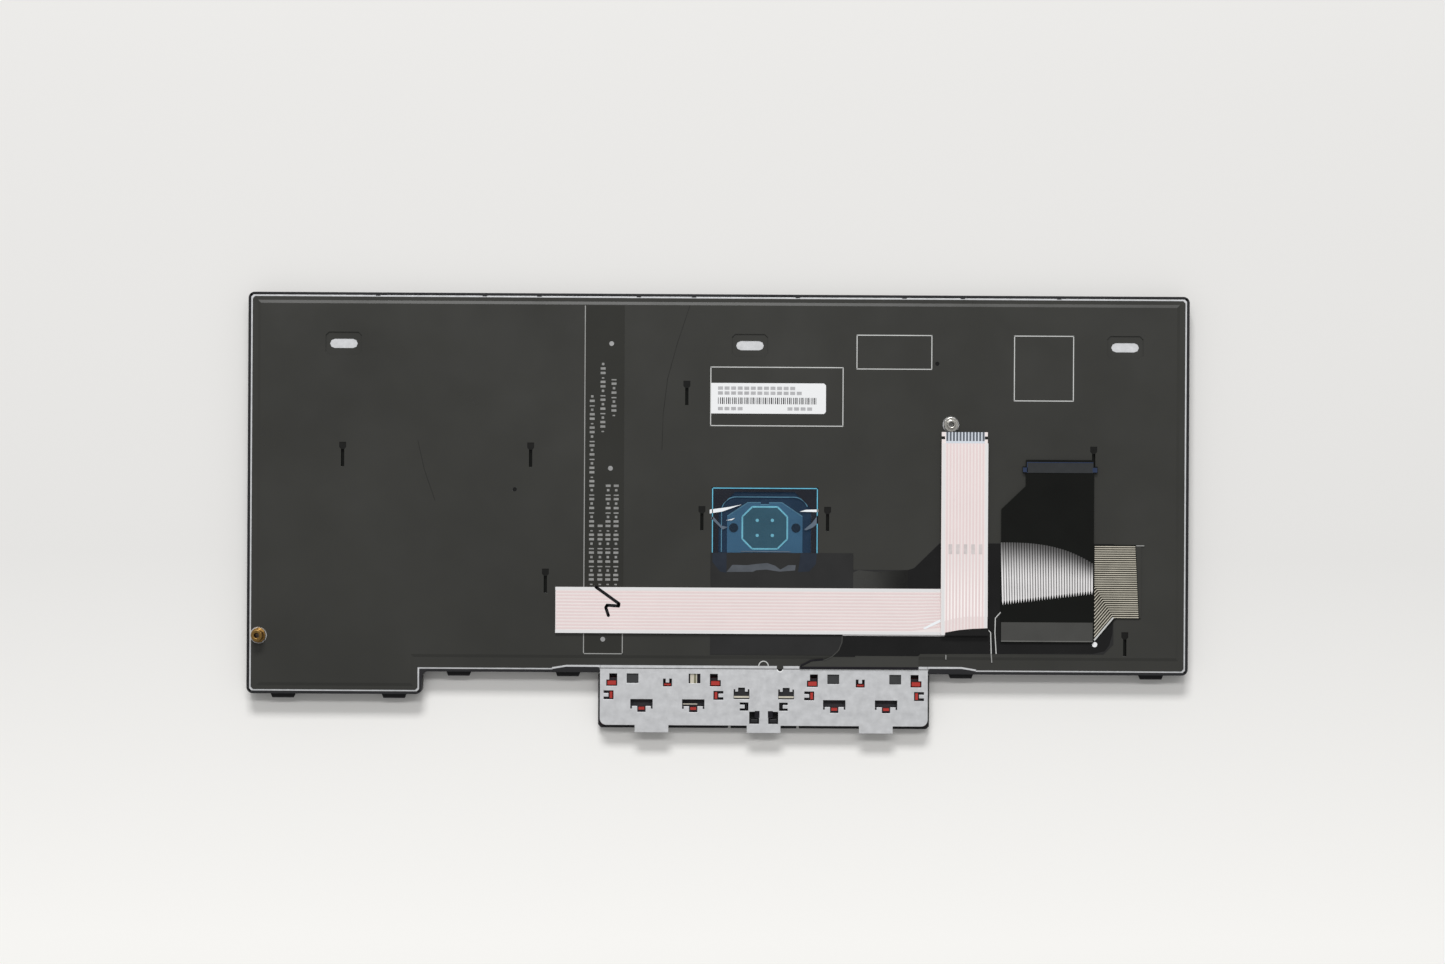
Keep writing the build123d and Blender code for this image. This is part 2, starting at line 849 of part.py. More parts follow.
def stick_sensor():
    """The sensor plate with its eight-sided middle, rivets and stick."""
    right = [
        (sensor_rear_half_width, sensor_rear),
        (sensor_half_width, sensor_shoulder),
        (sensor_half_width, -sensor_front),
    ]
    left = [(-x, y) for x, y in reversed(right)]
    outline = Polygon(*right, *left, align=None)
    notch_y = sensor_rear - sensor_notch_depth / 2
    outline -= Pos(0, notch_y) * Rectangle(sensor_notch_width, sensor_notch_depth)
    octagon = Rectangle(2 * octagon_half_width, 2 * octagon_half_depth)
    octagon = chamfer(octagon.vertices(), octagon_chamfer)

    top = plate_high + sensor_thick
    rivet = faceted_round(rivet_radius, round_side_count)
    sensor = slab(outline, plate_high, top)
    sensor += slab(octagon, top, top + octagon_rise)
    sensor += slab(at_places(rivet, [(-rivet_offset, 0), (rivet_offset, 0)]), top, top + rivet_rise)
    sensor += slab(Rectangle(stick_post_width, stick_post_width), stick_post_low, plate_high)
    return Pos(stick_x, stick_y, 0) * sensor


def stick_cap():
    """The soft cap, dished on its face and pushed on to the square stick."""
    rim = round_points(stick_cap_radius - stick_cap_chamfer, stick_cap_side_count)
    side = round_points(stick_cap_radius, stick_cap_side_count)
    shoulder = stick_cap_low + stick_cap_chamfer
    cap = Part() + frustum(rim, stick_cap_low, side, shoulder)
    cap += slab(faceted_round(stick_cap_radius, stick_cap_side_count), shoulder, stick_cap_high)
    dish_radius = stick_cap_radius - 2 * stick_cap_chamfer
    mouth = round_points(dish_radius, stick_cap_side_count)
    floor = round_points(dish_radius - stick_dish_depth, stick_cap_side_count)
    cap -= frustum(mouth, stick_cap_low, floor, stick_cap_low + stick_dish_depth)
    socket_width = stick_post_width + 2 * stick_socket_gap
    socket_low = stick_post_low - stick_socket_gap
    cap -= slab(Rectangle(socket_width, socket_width), socket_low, stick_cap_high)
    return Pos(stick_x, stick_y, 0) * cap


def sensor_film():
    """The clear blue film over the sensor's window."""
    sheet = area(
        stick_x - blue_half_width, stick_x + blue_half_width, stick_y - blue_front, stick_y + blue_rear
    )
    return slab(sheet, film_high, blue_high)


def stick_cable():
    """The ribbon: along the board, folded back at its left end, turned by a diagonal fold and up."""
    run_rear = ribbon_run_front + ribbon_width
    riser_right = ribbon_riser_left + ribbon_width
    lows = [ribbon_low + layer * ribbon_layer_pitch for layer in range(ribbon_layer_count)]
    fold_radius = (ribbon_layer_pitch + ribbon_thick) / 2
    run_left = ribbon_run_left + fold_radius
    riser_front = ribbon_run_front + fold_radius

    first = area(run_left, ribbon_joint_x, ribbon_run_front, run_rear)
    second = Polygon(
        (run_left, ribbon_run_front),
        (riser_right, ribbon_run_front),
        (ribbon_riser_left, run_rear),
        (run_left, run_rear),
        align=None,
    )
    flap = Polygon(
        (ribbon_riser_left, run_rear),
        (ribbon_riser_left, riser_front),
        (riser_right - fold_radius, riser_front),
        align=None,
    )
    riser = area(ribbon_riser_left, riser_right, riser_front, ribbon_riser_rear)
    notch_high = ribbon_riser_rear - ribbon_ear_length
    for x in (ribbon_riser_left, riser_right):
        riser -= area(
            x - ribbon_notch_depth, x + ribbon_notch_depth, notch_high - ribbon_notch_length, notch_high
        )
    cable = Part()
    for sketch, low in zip((first, second, flap, riser), lows):
        cable += slab(sketch, low, low + ribbon_thick)
    slant = math.sqrt(0.5)
    folds = (
        ((run_left, ribbon_run_front), (run_left, run_rear), (-1, 0)),
        ((ribbon_riser_left, run_rear), (riser_right, ribbon_run_front), (slant, slant)),
        ((ribbon_riser_left, riser_front), (riser_right, riser_front), (0, -1)),
    )
    for (start, end, outward), low in zip(folds, lows):
        high = low + ribbon_layer_pitch + ribbon_thick
        cable += half_bend(start, end, outward, low, high, ribbon_thick)
    return cable


# Buttons

def side_button_hooks():
    """Where the hooks of one side button stand in its cut-outs."""
    hooks = Sketch()
    for side in (1, -1):
        x = side_button_axis + side * corner_hole_offset
        depth = corner_hole_depth - corner_stay_depth - 2 * hook_gap
        y = corner_hole_row - corner_hole_depth / 2 + hook_gap + depth / 2
        hooks += Pos(x, y) * Rectangle(corner_hole_width - 2 * hook_gap, depth)

        width = side_hole_width - side_tongue_length - 2 * hook_gap
        x = side_button_axis + side * (side_hole_offset - side_hole_width / 2 + hook_gap + width / 2)
        hooks += Pos(x, side_hole_row) * Rectangle(width, side_hole_depth - 2 * hook_gap)

        x = tee_axis + side * tee_offset
        y = tee_row - (tee_depth + tee_stub_depth) / 2
        hooks += Pos(x, y) * Rectangle(tee_stub_width - 2 * hook_gap, tee_stub_depth - 2 * hook_gap)
    depth = tongue_hole_depth - tongue_length - 2 * hook_gap
    y = tongue_hole_row - tongue_hole_depth / 2 + hook_gap + depth / 2
    return hooks + Pos(tee_axis, y) * Rectangle(tongue_hole_width - 2 * hook_gap, depth)


def middle_button_hooks():
    """Where the hooks of one half of the middle button stand in its cut-outs."""
    depth = middle_corner_depth - corner_stay_depth - 2 * hook_gap
    y = middle_corner_row - middle_corner_depth / 2 + hook_gap + depth / 2
    hooks = Pos(middle_corner_offset, y) * Rectangle(middle_corner_width - 2 * hook_gap, depth)
    width = middle_side_width - side_tongue_length - 2 * hook_gap
    x = middle_side_offset - middle_side_width / 2 + hook_gap + width / 2
    return hooks + Pos(x, middle_side_row) * Rectangle(width, middle_side_depth - 2 * hook_gap)


def button_points(width, gap, corner):
    """A button, drawn in by a gap, from the plate's axis and front edge, with its +X front corner cut."""
    side = width / 2 - gap
    low = gap - button_past_front
    high = button_plate_drop - button_rear_gap - gap
    cut = [(side - corner, low), (side, low + corner)] if corner else [(side, low)]
    return [(-side, low)] + cut + [(side, high), (-side, high)]


def button_face(width, gap):
    return Polygon(*button_points(width, gap, 0), align=None)


def button_shell(width, corner):
    """A button's tapered outer block."""
    face = button_points(width, button_taper, corner)
    return Part() + frustum(face, button_low, button_points(width, 0, corner), button_cap_high)


def button_stripe(grow):
    """The coloured line on a side button's face."""
    return Pos(0, button_stripe_row) * Rectangle(
        button_stripe_length + 2 * grow, button_stripe_width + 2 * grow
    )


def side_button_cap():
    """The black cover of the button on the +X side."""
    cap = button_shell(side_button_width, button_corner)
    roof = button_low + button_roof
    cap -= slab(button_face(side_button_width, button_wall), roof, button_cap_high)
    cap -= slab(button_stripe(button_body_gap), button_low, roof)
    return Pos(side_button_middle, 0, 0) * cap


def side_button_body():
    """The coloured body of the button on the +X side, with its line and hooks."""
    roof = button_low + button_roof
    core = slab(button_face(side_button_width, button_wall + button_body_gap), roof, button_body_high)
    core += slab(button_stripe(0), button_low, roof)
    body = Pos(side_button_middle, 0, 0) * core
    return body + slab(side_button_hooks(), button_body_high, plate_high - hook_below_back)


def middle_button():
    """The middle button, moulded in one piece with its hooks."""
    button = button_shell(middle_button_width, 0)
    hooks = both_sides(middle_button_hooks())
    return button + slab(hooks, button_cap_high, plate_high - hook_below_back)


def button_switch_flex():
    """The flexible strip under the buttons, with three switch domes and the contact leaves."""
    centres = (-side_button_axis, 0, side_button_axis)
    strip_end = side_button_axis + flex_pad_width / 2
    sheet = area(-strip_end, strip_end, flex_strip_row - flex_strip_width, flex_strip_row)
    leaf_x = -(side_button_axis - square_hole_offset)
    leaf_pitch = leaf_width + leaf_gap
    for index in range(leaf_count):
        x = leaf_x + (index - (leaf_count - 1) / 2) * leaf_pitch
        leaf_rear = square_hole_row + square_hole_depth / 2
        sheet += area(x - leaf_width / 2, x + leaf_width / 2, flex_strip_row - flex_strip_width, leaf_rear)
    half_pad = flex_pad_width / 2
    pad_front = flex_strip_row - flex_pad_depth
    domes = Sketch()
    for x in centres:
        sheet += area(x - half_pad, x + half_pad, pad_front, flex_strip_row)
        dome = faceted_round(switch_dome_radius, round_side_count)
        domes += Pos(x, flex_strip_row - flex_pad_depth / 2) * dome
    flex_low = plate_low - flex_thick
    flex = slab(sheet, flex_low, plate_low)
    return flex + slab(domes, flex_low - switch_dome_rise, flex_low)


# Screw points, tapes and label

def brass_insert():
    """A flanged barrel with a threaded hole."""
    flange = faceted_round(insert_flange_radius, screw_point_side_count)
    barrel = faceted_round(insert_radius, screw_point_side_count)
    insert = slab(flange, plate_high, plate_high + insert_flange_high)
    insert += slab(barrel, plate_high, plate_high + insert_high)
    insert -= slab(Circle(thread_radius), plate_high, plate_high + insert_high)
    return Pos(insert_x, insert_y, 0) * insert


def steel_standoff():
    """A stepped standoff with a threaded hole."""
    base = faceted_round(standoff_base_radius, screw_point_side_count)
    boss = faceted_round(standoff_boss_radius, screw_point_side_count)
    standoff = slab(base, plate_high, plate_high + standoff_base_high)
    standoff += slab(boss, plate_high, plate_high + standoff_boss_high)
    standoff -= slab(Circle(thread_radius), plate_high, plate_high + standoff_boss_high)
    return Pos(standoff_x, standoff_y, 0) * standoff


def black_tapes():
    """The glossy tape under the cables, and the matt tape that laps over it and the blue film."""
    gloss = Polygon(
        (gloss_tape_left, gloss_tape_front),
        (gloss_tape_right, gloss_tape_front),
        (gloss_tape_right, gloss_tape_rear),
        (gloss_tape_top_x, gloss_tape_rear),
        (gloss_tape_step_x, gloss_tape_step_y),
        (cover_tape_right, gloss_tape_step_y),
        (cover_tape_right, cover_tape_front + cover_tape_corner),
        align=None,
    )
    right = gloss.vertices().group_by(Axis.X)[-1]
    gloss = chamfer(right.sort_by(Axis.Y)[0], gloss_tape_corner)
    cover = area(cover_tape_left, cover_tape_right, cover_tape_front, cover_tape_rear)
    corner = cover.vertices().group_by(Axis.Y)[0].sort_by(Axis.X)[-1]
    cover = chamfer(corner, cover_tape_corner)
    gloss_tape = slab(gloss, film_high, film_high + tape_thick)
    cover_tape = slab(cover, film_high, blue_high + tape_thick)
    return [gloss_tape, cover_tape - gloss_tape - sensor_film()]


def blank_label():
    """A plain paper label."""
    face = area(label_left, label_right, label_front, label_rear)
    face = chamfer(face.vertices().group_by(Axis.X)[-1], label_corner)
    return slab(face, film_high, film_high + label_thick)


# Put every node together and write it

def mirrored(shape):
    """The other side button, across the plate's axis."""
    return mirror(shape, about=Plane.YZ)


def save(name, *shapes):
    solids = [solid for shape in shapes for solid in shape.solids()]
    export_step(solids[0] if len(solids) == 1 else Compound(children=solids), f"parts/{name}.step")


def main():
    os.makedirs("parts", exist_ok=True)
    cells = key_cells()
    moving = [key for key in cells if moves(key[0])]
    plate_place = Pos(stick_x, plate_front, 0)

    save("keyboard_frame", keyboard_frame(cells))
    save("base_plate", base_plate())
    save("switch_membrane", switch_membrane())
    save("light_guide", light_guide())
    save("back_film", back_film())
    save("led_strip", led_strip())
    save("rubber_domes", *rubber_domes(moving))
    save("scissor_links", *scissor_links(moving))
    save("stick_sensor", stick_sensor())
    save("stick_cap", stick_cap())
    save("sensor_film", sensor_film())
    save("stick_cable", stick_cable())
    save("left_button_cap", plate_place * side_button_cap())
    save("left_button_body", plate_place * side_button_body())
    save("right_button_cap", plate_place * mirrored(side_button_cap()))
    save("right_button_body", plate_place * mirrored(side_button_body()))
    save("middle_button", plate_place * middle_button())
    save("button_switch_flex", plate_place * button_switch_flex())
    save("brass_insert", brass_insert())
    save("steel_standoff", steel_standoff())
    save("black_tapes", *black_tapes())
    save("blank_label", blank_label())
    for name in sorted({key[0] for key in cells}):
        save(name, *[keycap(key) for key in cells if key[0] == name])


main()
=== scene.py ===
import json
import math

import bmesh
import bpy
from mathutils import Matrix, Vector


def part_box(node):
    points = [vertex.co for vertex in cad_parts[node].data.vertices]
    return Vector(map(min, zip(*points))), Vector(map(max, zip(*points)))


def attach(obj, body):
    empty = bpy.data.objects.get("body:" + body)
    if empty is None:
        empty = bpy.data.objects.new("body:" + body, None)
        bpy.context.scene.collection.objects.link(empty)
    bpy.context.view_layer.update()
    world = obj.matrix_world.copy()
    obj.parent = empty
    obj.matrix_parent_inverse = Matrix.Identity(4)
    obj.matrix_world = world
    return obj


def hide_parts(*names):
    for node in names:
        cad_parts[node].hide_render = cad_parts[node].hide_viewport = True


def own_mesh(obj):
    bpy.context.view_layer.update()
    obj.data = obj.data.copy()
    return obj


# The back of a laptop keyboard, lying on its keys and seen from straight above.
# Lengths are millimetres on the board: +X is photo right, +Y is photo up and +Z is out of the back.

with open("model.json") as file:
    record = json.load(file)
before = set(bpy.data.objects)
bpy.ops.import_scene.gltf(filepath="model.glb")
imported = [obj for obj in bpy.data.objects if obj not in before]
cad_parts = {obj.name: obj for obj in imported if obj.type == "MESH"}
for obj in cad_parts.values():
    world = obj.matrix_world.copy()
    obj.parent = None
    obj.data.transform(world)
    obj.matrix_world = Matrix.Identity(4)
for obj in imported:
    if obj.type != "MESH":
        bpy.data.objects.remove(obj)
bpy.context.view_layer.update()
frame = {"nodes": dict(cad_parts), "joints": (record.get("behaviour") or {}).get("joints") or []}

MM = 0.001

# Camera
VIEW_WIDTH = 440.4
VIEW_CENTRE = (1.32, 9.61)
CAMERA_HEIGHT = 750.0
CAMERA_ROLL = 0.0057
SENSOR_WIDTH = 36.0

# Lamps: place, width and depth in metres, and power in watts
LAMPS = {
    "rear_lamp": ((-0.15, 1.8, 1.35), 0.9, 0.4, 36.0),
    "ridge_lamp": ((0.0, 0.89, 1.7), 1.8, 0.25, 11.0),
}

# Light from all round: two heights, as shares, and its strength at each
SKY_HEIGHTS = (0.3, 1.0)
SKY_STRENGTHS = (0.48, 0.3)

# Floor, with its colours as they read on screen, darker towards the rear as painted shade
FLOOR_SIZE = 3000.0
FLOOR_FRONT_COLOUR = (251, 250, 247)
FLOOR_MIDDLE_COLOUR = (227, 226, 224)
FLOOR_MIDDLE_SHARE = 0.45
FLOOR_REAR_COLOUR = (224, 223, 221)
FLOOR_ROUGHNESS = 0.9
GRADIENT_HALF = 130.0

# Surface detail
NOISE_LOW = 0.3
NOISE_HIGH = 0.7
GLOSS_SPREAD = 0.15
GRAIN_DEPTH = 0.05
WELD_DISTANCE = 0.001
FLAT_ANGLE = 1
BEVEL_ANGLE = 35
BEVEL_SEGMENTS = 2

# Print and thin layers
PRINT_THICK = 0.02
LINE_WIDTH = 0.28
FILM_BORDER_THICK = 0.12
RIBBON_LAYER = 0.35
STIFFENER_THICK = 0.15
TAIL_LAYER = 0.35
TAPE_THICK = 0.08

# Printed boxes on the film: left, right, front, rear
PRINTED_BOXES = (
    (-2.4, 37.9, 26.8, 44.65),
    (42.1, 64.9, 44.3, 54.6),
    (90.1, 108.1, 34.85, 54.6),
)
HALF_RING_PLACE = (14.15, -46.4)
HALF_RING_RADIUS = 1.45

# Light strip
STRIP_DOT_PLACES = ((-32.7, 51.6), (-32.85, 13.6), (-34.9, -38.5))
STRIP_DOT_RADIUS = 0.72
STRIP_COLUMNS = (
    (-38.5, -22.0, 37.4),
    (-35.25, 24.6, 46.6),
    (-31.9, 29.5, 42.0),
    (-35.9, -22.0, -1.9),
    (-33.5, -22.0, 10.0),
    (-31.05, -22.0, 10.0),
)
STRIP_MARK_LENGTH = 0.95
STRIP_SHORT_SHARE = 0.4
STRIP_LONG_SHARE = 0.75
STRIP_MARK_WIDTH = 1.5
STRIP_MARK_PITCH = 1.36

# Label
LABEL_BAND = (-0.2, 30.4, 33.4, 35.4)
LABEL_BAR_PITCH = 0.62
LABEL_BAR_SHARES = (0.3, 0.45, 0.6)
LABEL_ROWS = ((38.25, -0.2, 24.0), (36.75, -0.2, 27.0), (32.0, -0.2, 9.5), (32.0, 21.0, 30.0))
LABEL_DASH_LENGTH = 1.5
LABEL_DASH_GAP = 0.5
LABEL_DASH_WIDTH = 1.0

# Ribbon cable
RIBBON_WAYS = 12
RIBBON_PITCH = 1.0
RIBBON_WIDTH = 14.0
CONDUCTOR_WIDTH = 0.55
CONTACT_WIDTH = 0.6
CONTACT_LENGTH = 2.7
CONTACT_BAND = 3.4
CONTACT_BAND_INSET = 1.1
RIBBON_MARGIN = 0.95
RISER_MARK_Y = -10.4
RISER_MARK_LEFT = 70.2
RISER_MARK_COUNT = 5
RISER_MARK_PITCH = 2.3
RISER_MARK_WIDTH = 1.1
RISER_MARK_LENGTH = 3.0
RUN_LIFT_LENGTH = 9.0
RUN_LIFT = 1.1
PEN_WIDTH = 0.95
PEN_POINTS = (
    (-37.0, -22.6), (-30.0, -27.6), (-30.1, -28.3), (-33.6, -28.1), (-34.0, -28.8), (-33.2, -31.2),
)
BEND_GLINT = ((62.6, -34.6), (66.2, -32.6), (68.3, -31.7), (68.3, -32.5), (66.2, -33.5), (63.2, -34.9))
BEND_LINE = ((69.5, -32.2), (72.4, -31.5), (75.6, -31.0), (78.8, -30.9), (82.2, -30.9))
BEND_EDGE = ((69.3, -35.8), (73.6, -35.0), (77.8, -34.6), (82.5, -34.4))
RISER_SHEEN_REAR = -12.0
BEND_COVER_LAP = 0.1
UNDER_EDGE = (38.2, 69.2)
UNDER_EDGE_WIDTH = 0.4

# Membrane tail
TRACE_WIDTH = 0.5
TRACE_COUNT = 35
TRACE_LEFT = 86.9
TRACE_RIGHT = 114.0
TRACE_TOP_Y = -8.3
TRACE_TOP_DROP = 6.2
TRACE_TOP_CURVE = 2.8
TRACE_LOW_LEFT_Y = -27.4
TRACE_LOW_RIGHT_Y = -24.1
TRACE_TIP = 1.2
TRACE_FAN = 0.5
# Painted shade: the silver traces and the sheen between them darken towards their rear ends, less far on the
# left
TRACE_SHADE_FADE = ("UV", 0.35, 1.0, 0.1)
TRACE_SHADE_FADE_LEFT = 0.92
SIDE_TRACE_COUNT = 34
SIDE_TRACE_WIDTH = 0.26
SIDE_TRACE_RIGHT = 127.2
SIDE_TRACE_SLANT = 1.1
SIDE_TRACE_LEFT = 114.8
SIDE_TRACE_REAR = -9.4
SIDE_TRACE_FRONT = -31.0
SIDE_BEND_RIGHT = 120.6
SIDE_SLOPE = 1.2
SIDE_BEND_START = 0.55
# Painted sheen on the bulge of the tail's fold
FOLD_BAND = (86.4, 114.3, -38.5, -32.6)
FOLD_EDGE_LINE = 0.3
# Painted glint at the corner of the tail's fold
FOLD_GLINT = (115.0, -39.3)
FOLD_GLINT_RADIUS = 0.8
SIDE_EDGE_WIDTH = 0.5
FOLD_LINES = (
    ((87.1, -28.7), (84.7, -31.4), (84.6, -36.0), (85.0, -42.3)),
    ((82.0, -34.5), (83.3, -35.8), (83.5, -42.3)),
)
FOLD_LINE_END = ((83.5, -42.3), (83.7, -45.0))
FILM_TICK = ((69.7, -42.7), (69.7, -44.1))
SLOT_TICK = ((127.5, -9.1), (129.9, -9.1))
SLOT_COVER = ((127.35, -8.9), (129.0, -8.9), (129.0, -31.2), (128.5, -31.2))
STIFFENER_FACE = (94.0, 114.2, 12.95, 16.0)
STIFFENER_LINE = 0.22
STIFFENER_EAR_LENGTH = 1.6
STIFFENER_EAR_WIDTH = 1.2
STIFFENER_EAR_GAP = 0.2

# Pointing stick's sensor, from the stick's axis
SENSOR_FRAME_HALF_WIDTH = 16.1
SENSOR_FRAME_REAR = 12.2
SENSOR_FRAME_FRONT = -7.6
ARCH_HALF_WIDTH = 13.2
ARCH_REAR = 9.4
ARCH_RADIUS = 4.4
ARCH_FRONT = -7.4
ARCH_END_ANGLE = 20
OCTAGON_HALF_WIDTH = 6.85
OCTAGON_HALF_DEPTH = 6.4
OCTAGON_CHAMFER = 3.0
OCTAGON_LINE = 0.5
SENSOR_EDGE = (
    (-11.4, 3.55), (-5.2, 7.7), (-1.3, 7.7), (-1.3, 7.1), (1.3, 7.1), (1.3, 7.7), (5.2, 7.7), (11.4, 3.55),
)
SENSOR_EDGE_LINE = 0.28
PAD_OFFSET = 2.3
PAD_RADIUS = 0.5
RIVET_OFFSET = 9.5
RIVET_RADIUS = 1.4
GASKET_HALF_WIDTH = 14.1
GASKET_FRONT = -13.3
GASKET_REAR = 10.9
GASKET_CHAMFER = 5.0
GASKET_FRONT_CHAMFER = 0.1
SHADE_INSET = 0.1
SENSOR_THICK = 0.25
OCTAGON_RISE = 0.08
RIVET_RISE = 0.1

# Painted highlights along creases of the blue film and the tape, from the stick's axis
WHITE_CREASE_HIGHLIGHTS = (
    ((-16.8, 4.3), (-13.0, 4.9), (-7.0, 7.1), (-11.0, 6.3), (-16.8, 5.5)),
    ((10.6, 5.0), (16.2, 4.9), (16.2, 5.7), (12.5, 5.6)),
    ((-11.8, 2.2), (-9.0, 3.0), (-10.0, 2.3)),
)
DIM_CREASE_HIGHLIGHTS = (
    ((-16.5, 2.9), (-14.5, 1.0), (-12.8, -0.6), (-11.3, 0.2), (-13.2, 0.6), (-15.8, 3.4)),
    ((12.0, -0.4), (14.4, 1.6), (16.1, 3.9), (16.1, 1.4), (14.6, 0.2), (12.6, -0.7)),
    ((-7.3, -7.3), (7.8, -7.4), (7.8, -7.1), (-7.3, -7.05)),
)
TAPE_CREASE_HIGHLIGHT = (
    (-11.6, -13.5), (-9.8, -11.3), (-5.4, -11.4), (-2.5, -11.0), (0.8, -10.7), (3.2, -11.5), (4.8, -12.7),
    (7.2, -11.3), (9.5, -11.3), (9.3, -12.9), (4.6, -13.3), (0.5, -12.7), (-2.5, -12.9), (-3.6, -13.4),
)
TAPE_TINTS = (
    ((-15.9, -7.7), (-11.6, -7.7), (-11.6, -13.7), (-13.5, -13.4), (-15.9, -10.5)),
    ((11.0, -7.7), (15.9, -7.7), (15.6, -11.0), (13.6, -13.2), (10.2, -13.4)),
)

# Glossy face of the tape beside the ribbon and under the tail, and a painted reflection on the end of its
# sheet
GLOSS_FACE = (
    (38.1, -37.4), (37.5, -40.3), (36.1, -43.1), (61.2, -43.1), (61.9, -42.4), (114.6, -42.1), (118.1, -41.3),
    (119.4, -39.6), (120.4, -36.0), (120.6, -31.0), (120.6, -8.7), (67.7, -8.7), (59.9, -16.3), (58.0, -16.9),
    (58.0, -37.4),
)
GLOSS_REFLECTION = ((39.4, -22.8), (39.4, -18.6), (42.9, -17.0), (48.1, -17.5), (58.0, -16.9), (58.0, -22.8))

# Wear marks on the film
SCRATCHES = (
    ((-8.9, 63.3), (-12.6, 52.0), (-15.6, 41.0), (-16.9, 30.0), (-17.2, 19.3)),
    ((-91.6, 21.9), (-89.6, 13.0), (-86.3, 3.6)),
)
SCRATCH_WIDTH = 0.2

# Openings in the film
KEYHOLE_PLACES = (
    (-114.5, 17.5), (-57.2, 17.6), (-52.5, -20.8), (-9.7, 36.7),
    (-4.9, -1.5), (33.4, -1.5), (114.4, 17.3), (124.2, -39.2),
)
KEYHOLE_END = 3.7
KEYHOLE_HEAD_LENGTH = 2.2
KEYHOLE_HEAD_TAPER = 0.6
KEYHOLE_HEAD_WIDTH = 2.1
KEYHOLE_STEM = 1.0
PIN_HOLE_PLACES = ((-62.0, 7.0), (66.6, 46.0))
PIN_HOLE_RADIUS = 0.68
PIN_HOLE_SIDES = 8
GUIDE_THICK = 0.3

# Film lap over the button plate, along a curve and a straight edge
LAP_CURVE = (
    (38.1, -37.0), (38.0, -39.0), (37.0, -41.5), (35.0, -43.4), (32.6, -44.6), (28.8, -45.0), (26.5, -46.2),
    (25.8, -46.5),
)
LAP_GLINT_POINTS = 5
LAP_RIGHT = 61.4
LAP_FRONT = -46.5
LAP_REAR = -42.4
LAP_LEFT = 36.1
# Width, left end and shift of the painted shadow lines along the lap's front edge and curve
LAP_SHADOW = 0.65
LAP_SHADOW_LEFT = 25.2
LAP_SHADOW_SHIFT = 0.3
GLOSS_CORNER_POINTS = 4
GLOSS_CORNER_RIGHT = 42.0
NOTCH_PLACE = (19.2, -47.25)
NOTCH_RADIUS = 0.75
NOTCH_RIM_GAP = 0.2
NOTCH_RIM_WIDTH = 0.3
NOTCH_RIM_ANGLES = (190, 350)

# Button plate, from the stick's axis and the plate's front edge.
# The hole and the hook's shade are half width, front and rear, and an ear is width, front and rear.
# The front cut's shade is its near and far side, front and rear.
PLATE_FRONT = -64.65
LEAF_X = -21.15
LEVER_X = (4.5, 9.1)
LEVER_ROWS = (8.45, 9.0)
TEE_LEVER_X = (-24.7, -20.3)
TEE_LEVER_ROWS = (6.35, 6.6)
LEAF_HOLE = (1.76, 12.82, 15.68)
LEAF_STRIPES = ((-1.31, -0.16), (0.44, 0.76))
LEAF_SHADE = (-0.16, 0.44)
PAD_INSET = 0.02
POST_PLACES = (-40.05, 21.15, 40.05)
POST_SIZE = (3.3, 2.65)
POST_ROW = 14.25
POST_DEEP = 0.35
TEE_X = (21.5, 37.3)
TEE_HALF_WIDTH = 3.4
TEE_EAR = (0.5, 5.05, 5.8)
MIDDLE_TEE_X = 6.8
MIDDLE_TEE_HALF_WIDTH = 2.4
MIDDLE_EAR = (0.5, 10.35, 11.1)
HOOK_SHADE = (1.05, 4.12, 4.7)
FRONT_CUT_SHADE = (1.27, 2.75, 2.4, 4.5)
HOOK_TOP = 4.85
BODY_TOP = 2.6
FLEX_TOP = 4.6

# Steel and rim along the neck between the board and the button plate, with x from the stick's axis
NECK_STEEL_END = (
    (64.7, -47.15), (60.2, -46.4), (49.9, -46.4), (49.9, -47.2),
    (50.6, -46.98), (60.3, -46.95), (64.5, -47.65),
)
NECK_RIM = (
    (64.5, -47.65), (60.3, -46.95), (50.7, -46.98), (50.25, -47.15), (50.05, -47.6), (50.05, -48.3),
    (64.5, -48.3),
)
NECK_HALF_WIDTH = 50.0
NECK_FRONT = -47.2
NECK_REAR = -46.4
NECK_NOTCH = (18.2, 20.2)
NECK_LAP_LEFT = 25.1

# Switches under the moving keys
ROOF_HEIGHT = 1.0
LINK_LENGTH = 10.4
LINK_ARM = 1.0
LINK_THICK = 0.7
LINK_GAP = 0.35
LINK_ROUND = 0.12
STICK_LINK_SHIFT = 0.6
STICK_KEYS = ("key_b", "key_g", "key_h")
MIRRORED_LINK_KEYS = ("key_g",)
DOME_SIDES = 20
DOME_PROFILE = ((2.5, 0.0), (2.45, 0.1), (2.1, 0.16), (1.75, 0.8), (1.5, 0.86), (1.45, 1.0))


def srgb(red, green, blue):
    """A colour as it reads on screen, 0 to 255, in Blender's linear values."""
    values = [part / 255 for part in (red, green, blue)]
    return tuple(v / 12.92 if v <= 0.04045 else ((v + 0.055) / 1.055) ** 2.4 for v in values)


def top_of(node):
    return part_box(node)[1].z / MM


def sides(node):
    """A node's left, right, front and rear."""
    low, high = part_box(node)
    return low.x / MM, high.x / MM, low.y / MM, high.y / MM


def middle_of(node):
    left, right, front, rear = sides(node)
    return (left + right) / 2, (front + rear) / 2


film_top = top_of("back_film")
plate_top = top_of("base_plate")
border_top = plate_top + FILM_BORDER_THICK
riser_top = top_of("stick_cable")
run_top = riser_top - 2 * RIBBON_LAYER
tail_top = top_of("switch_membrane") - STIFFENER_THICK
tail_under_top = tail_top - TAIL_LAYER
tape_top = film_top + TAPE_THICK
stick_x, stick_y = middle_of("stick_cap")


# Materials

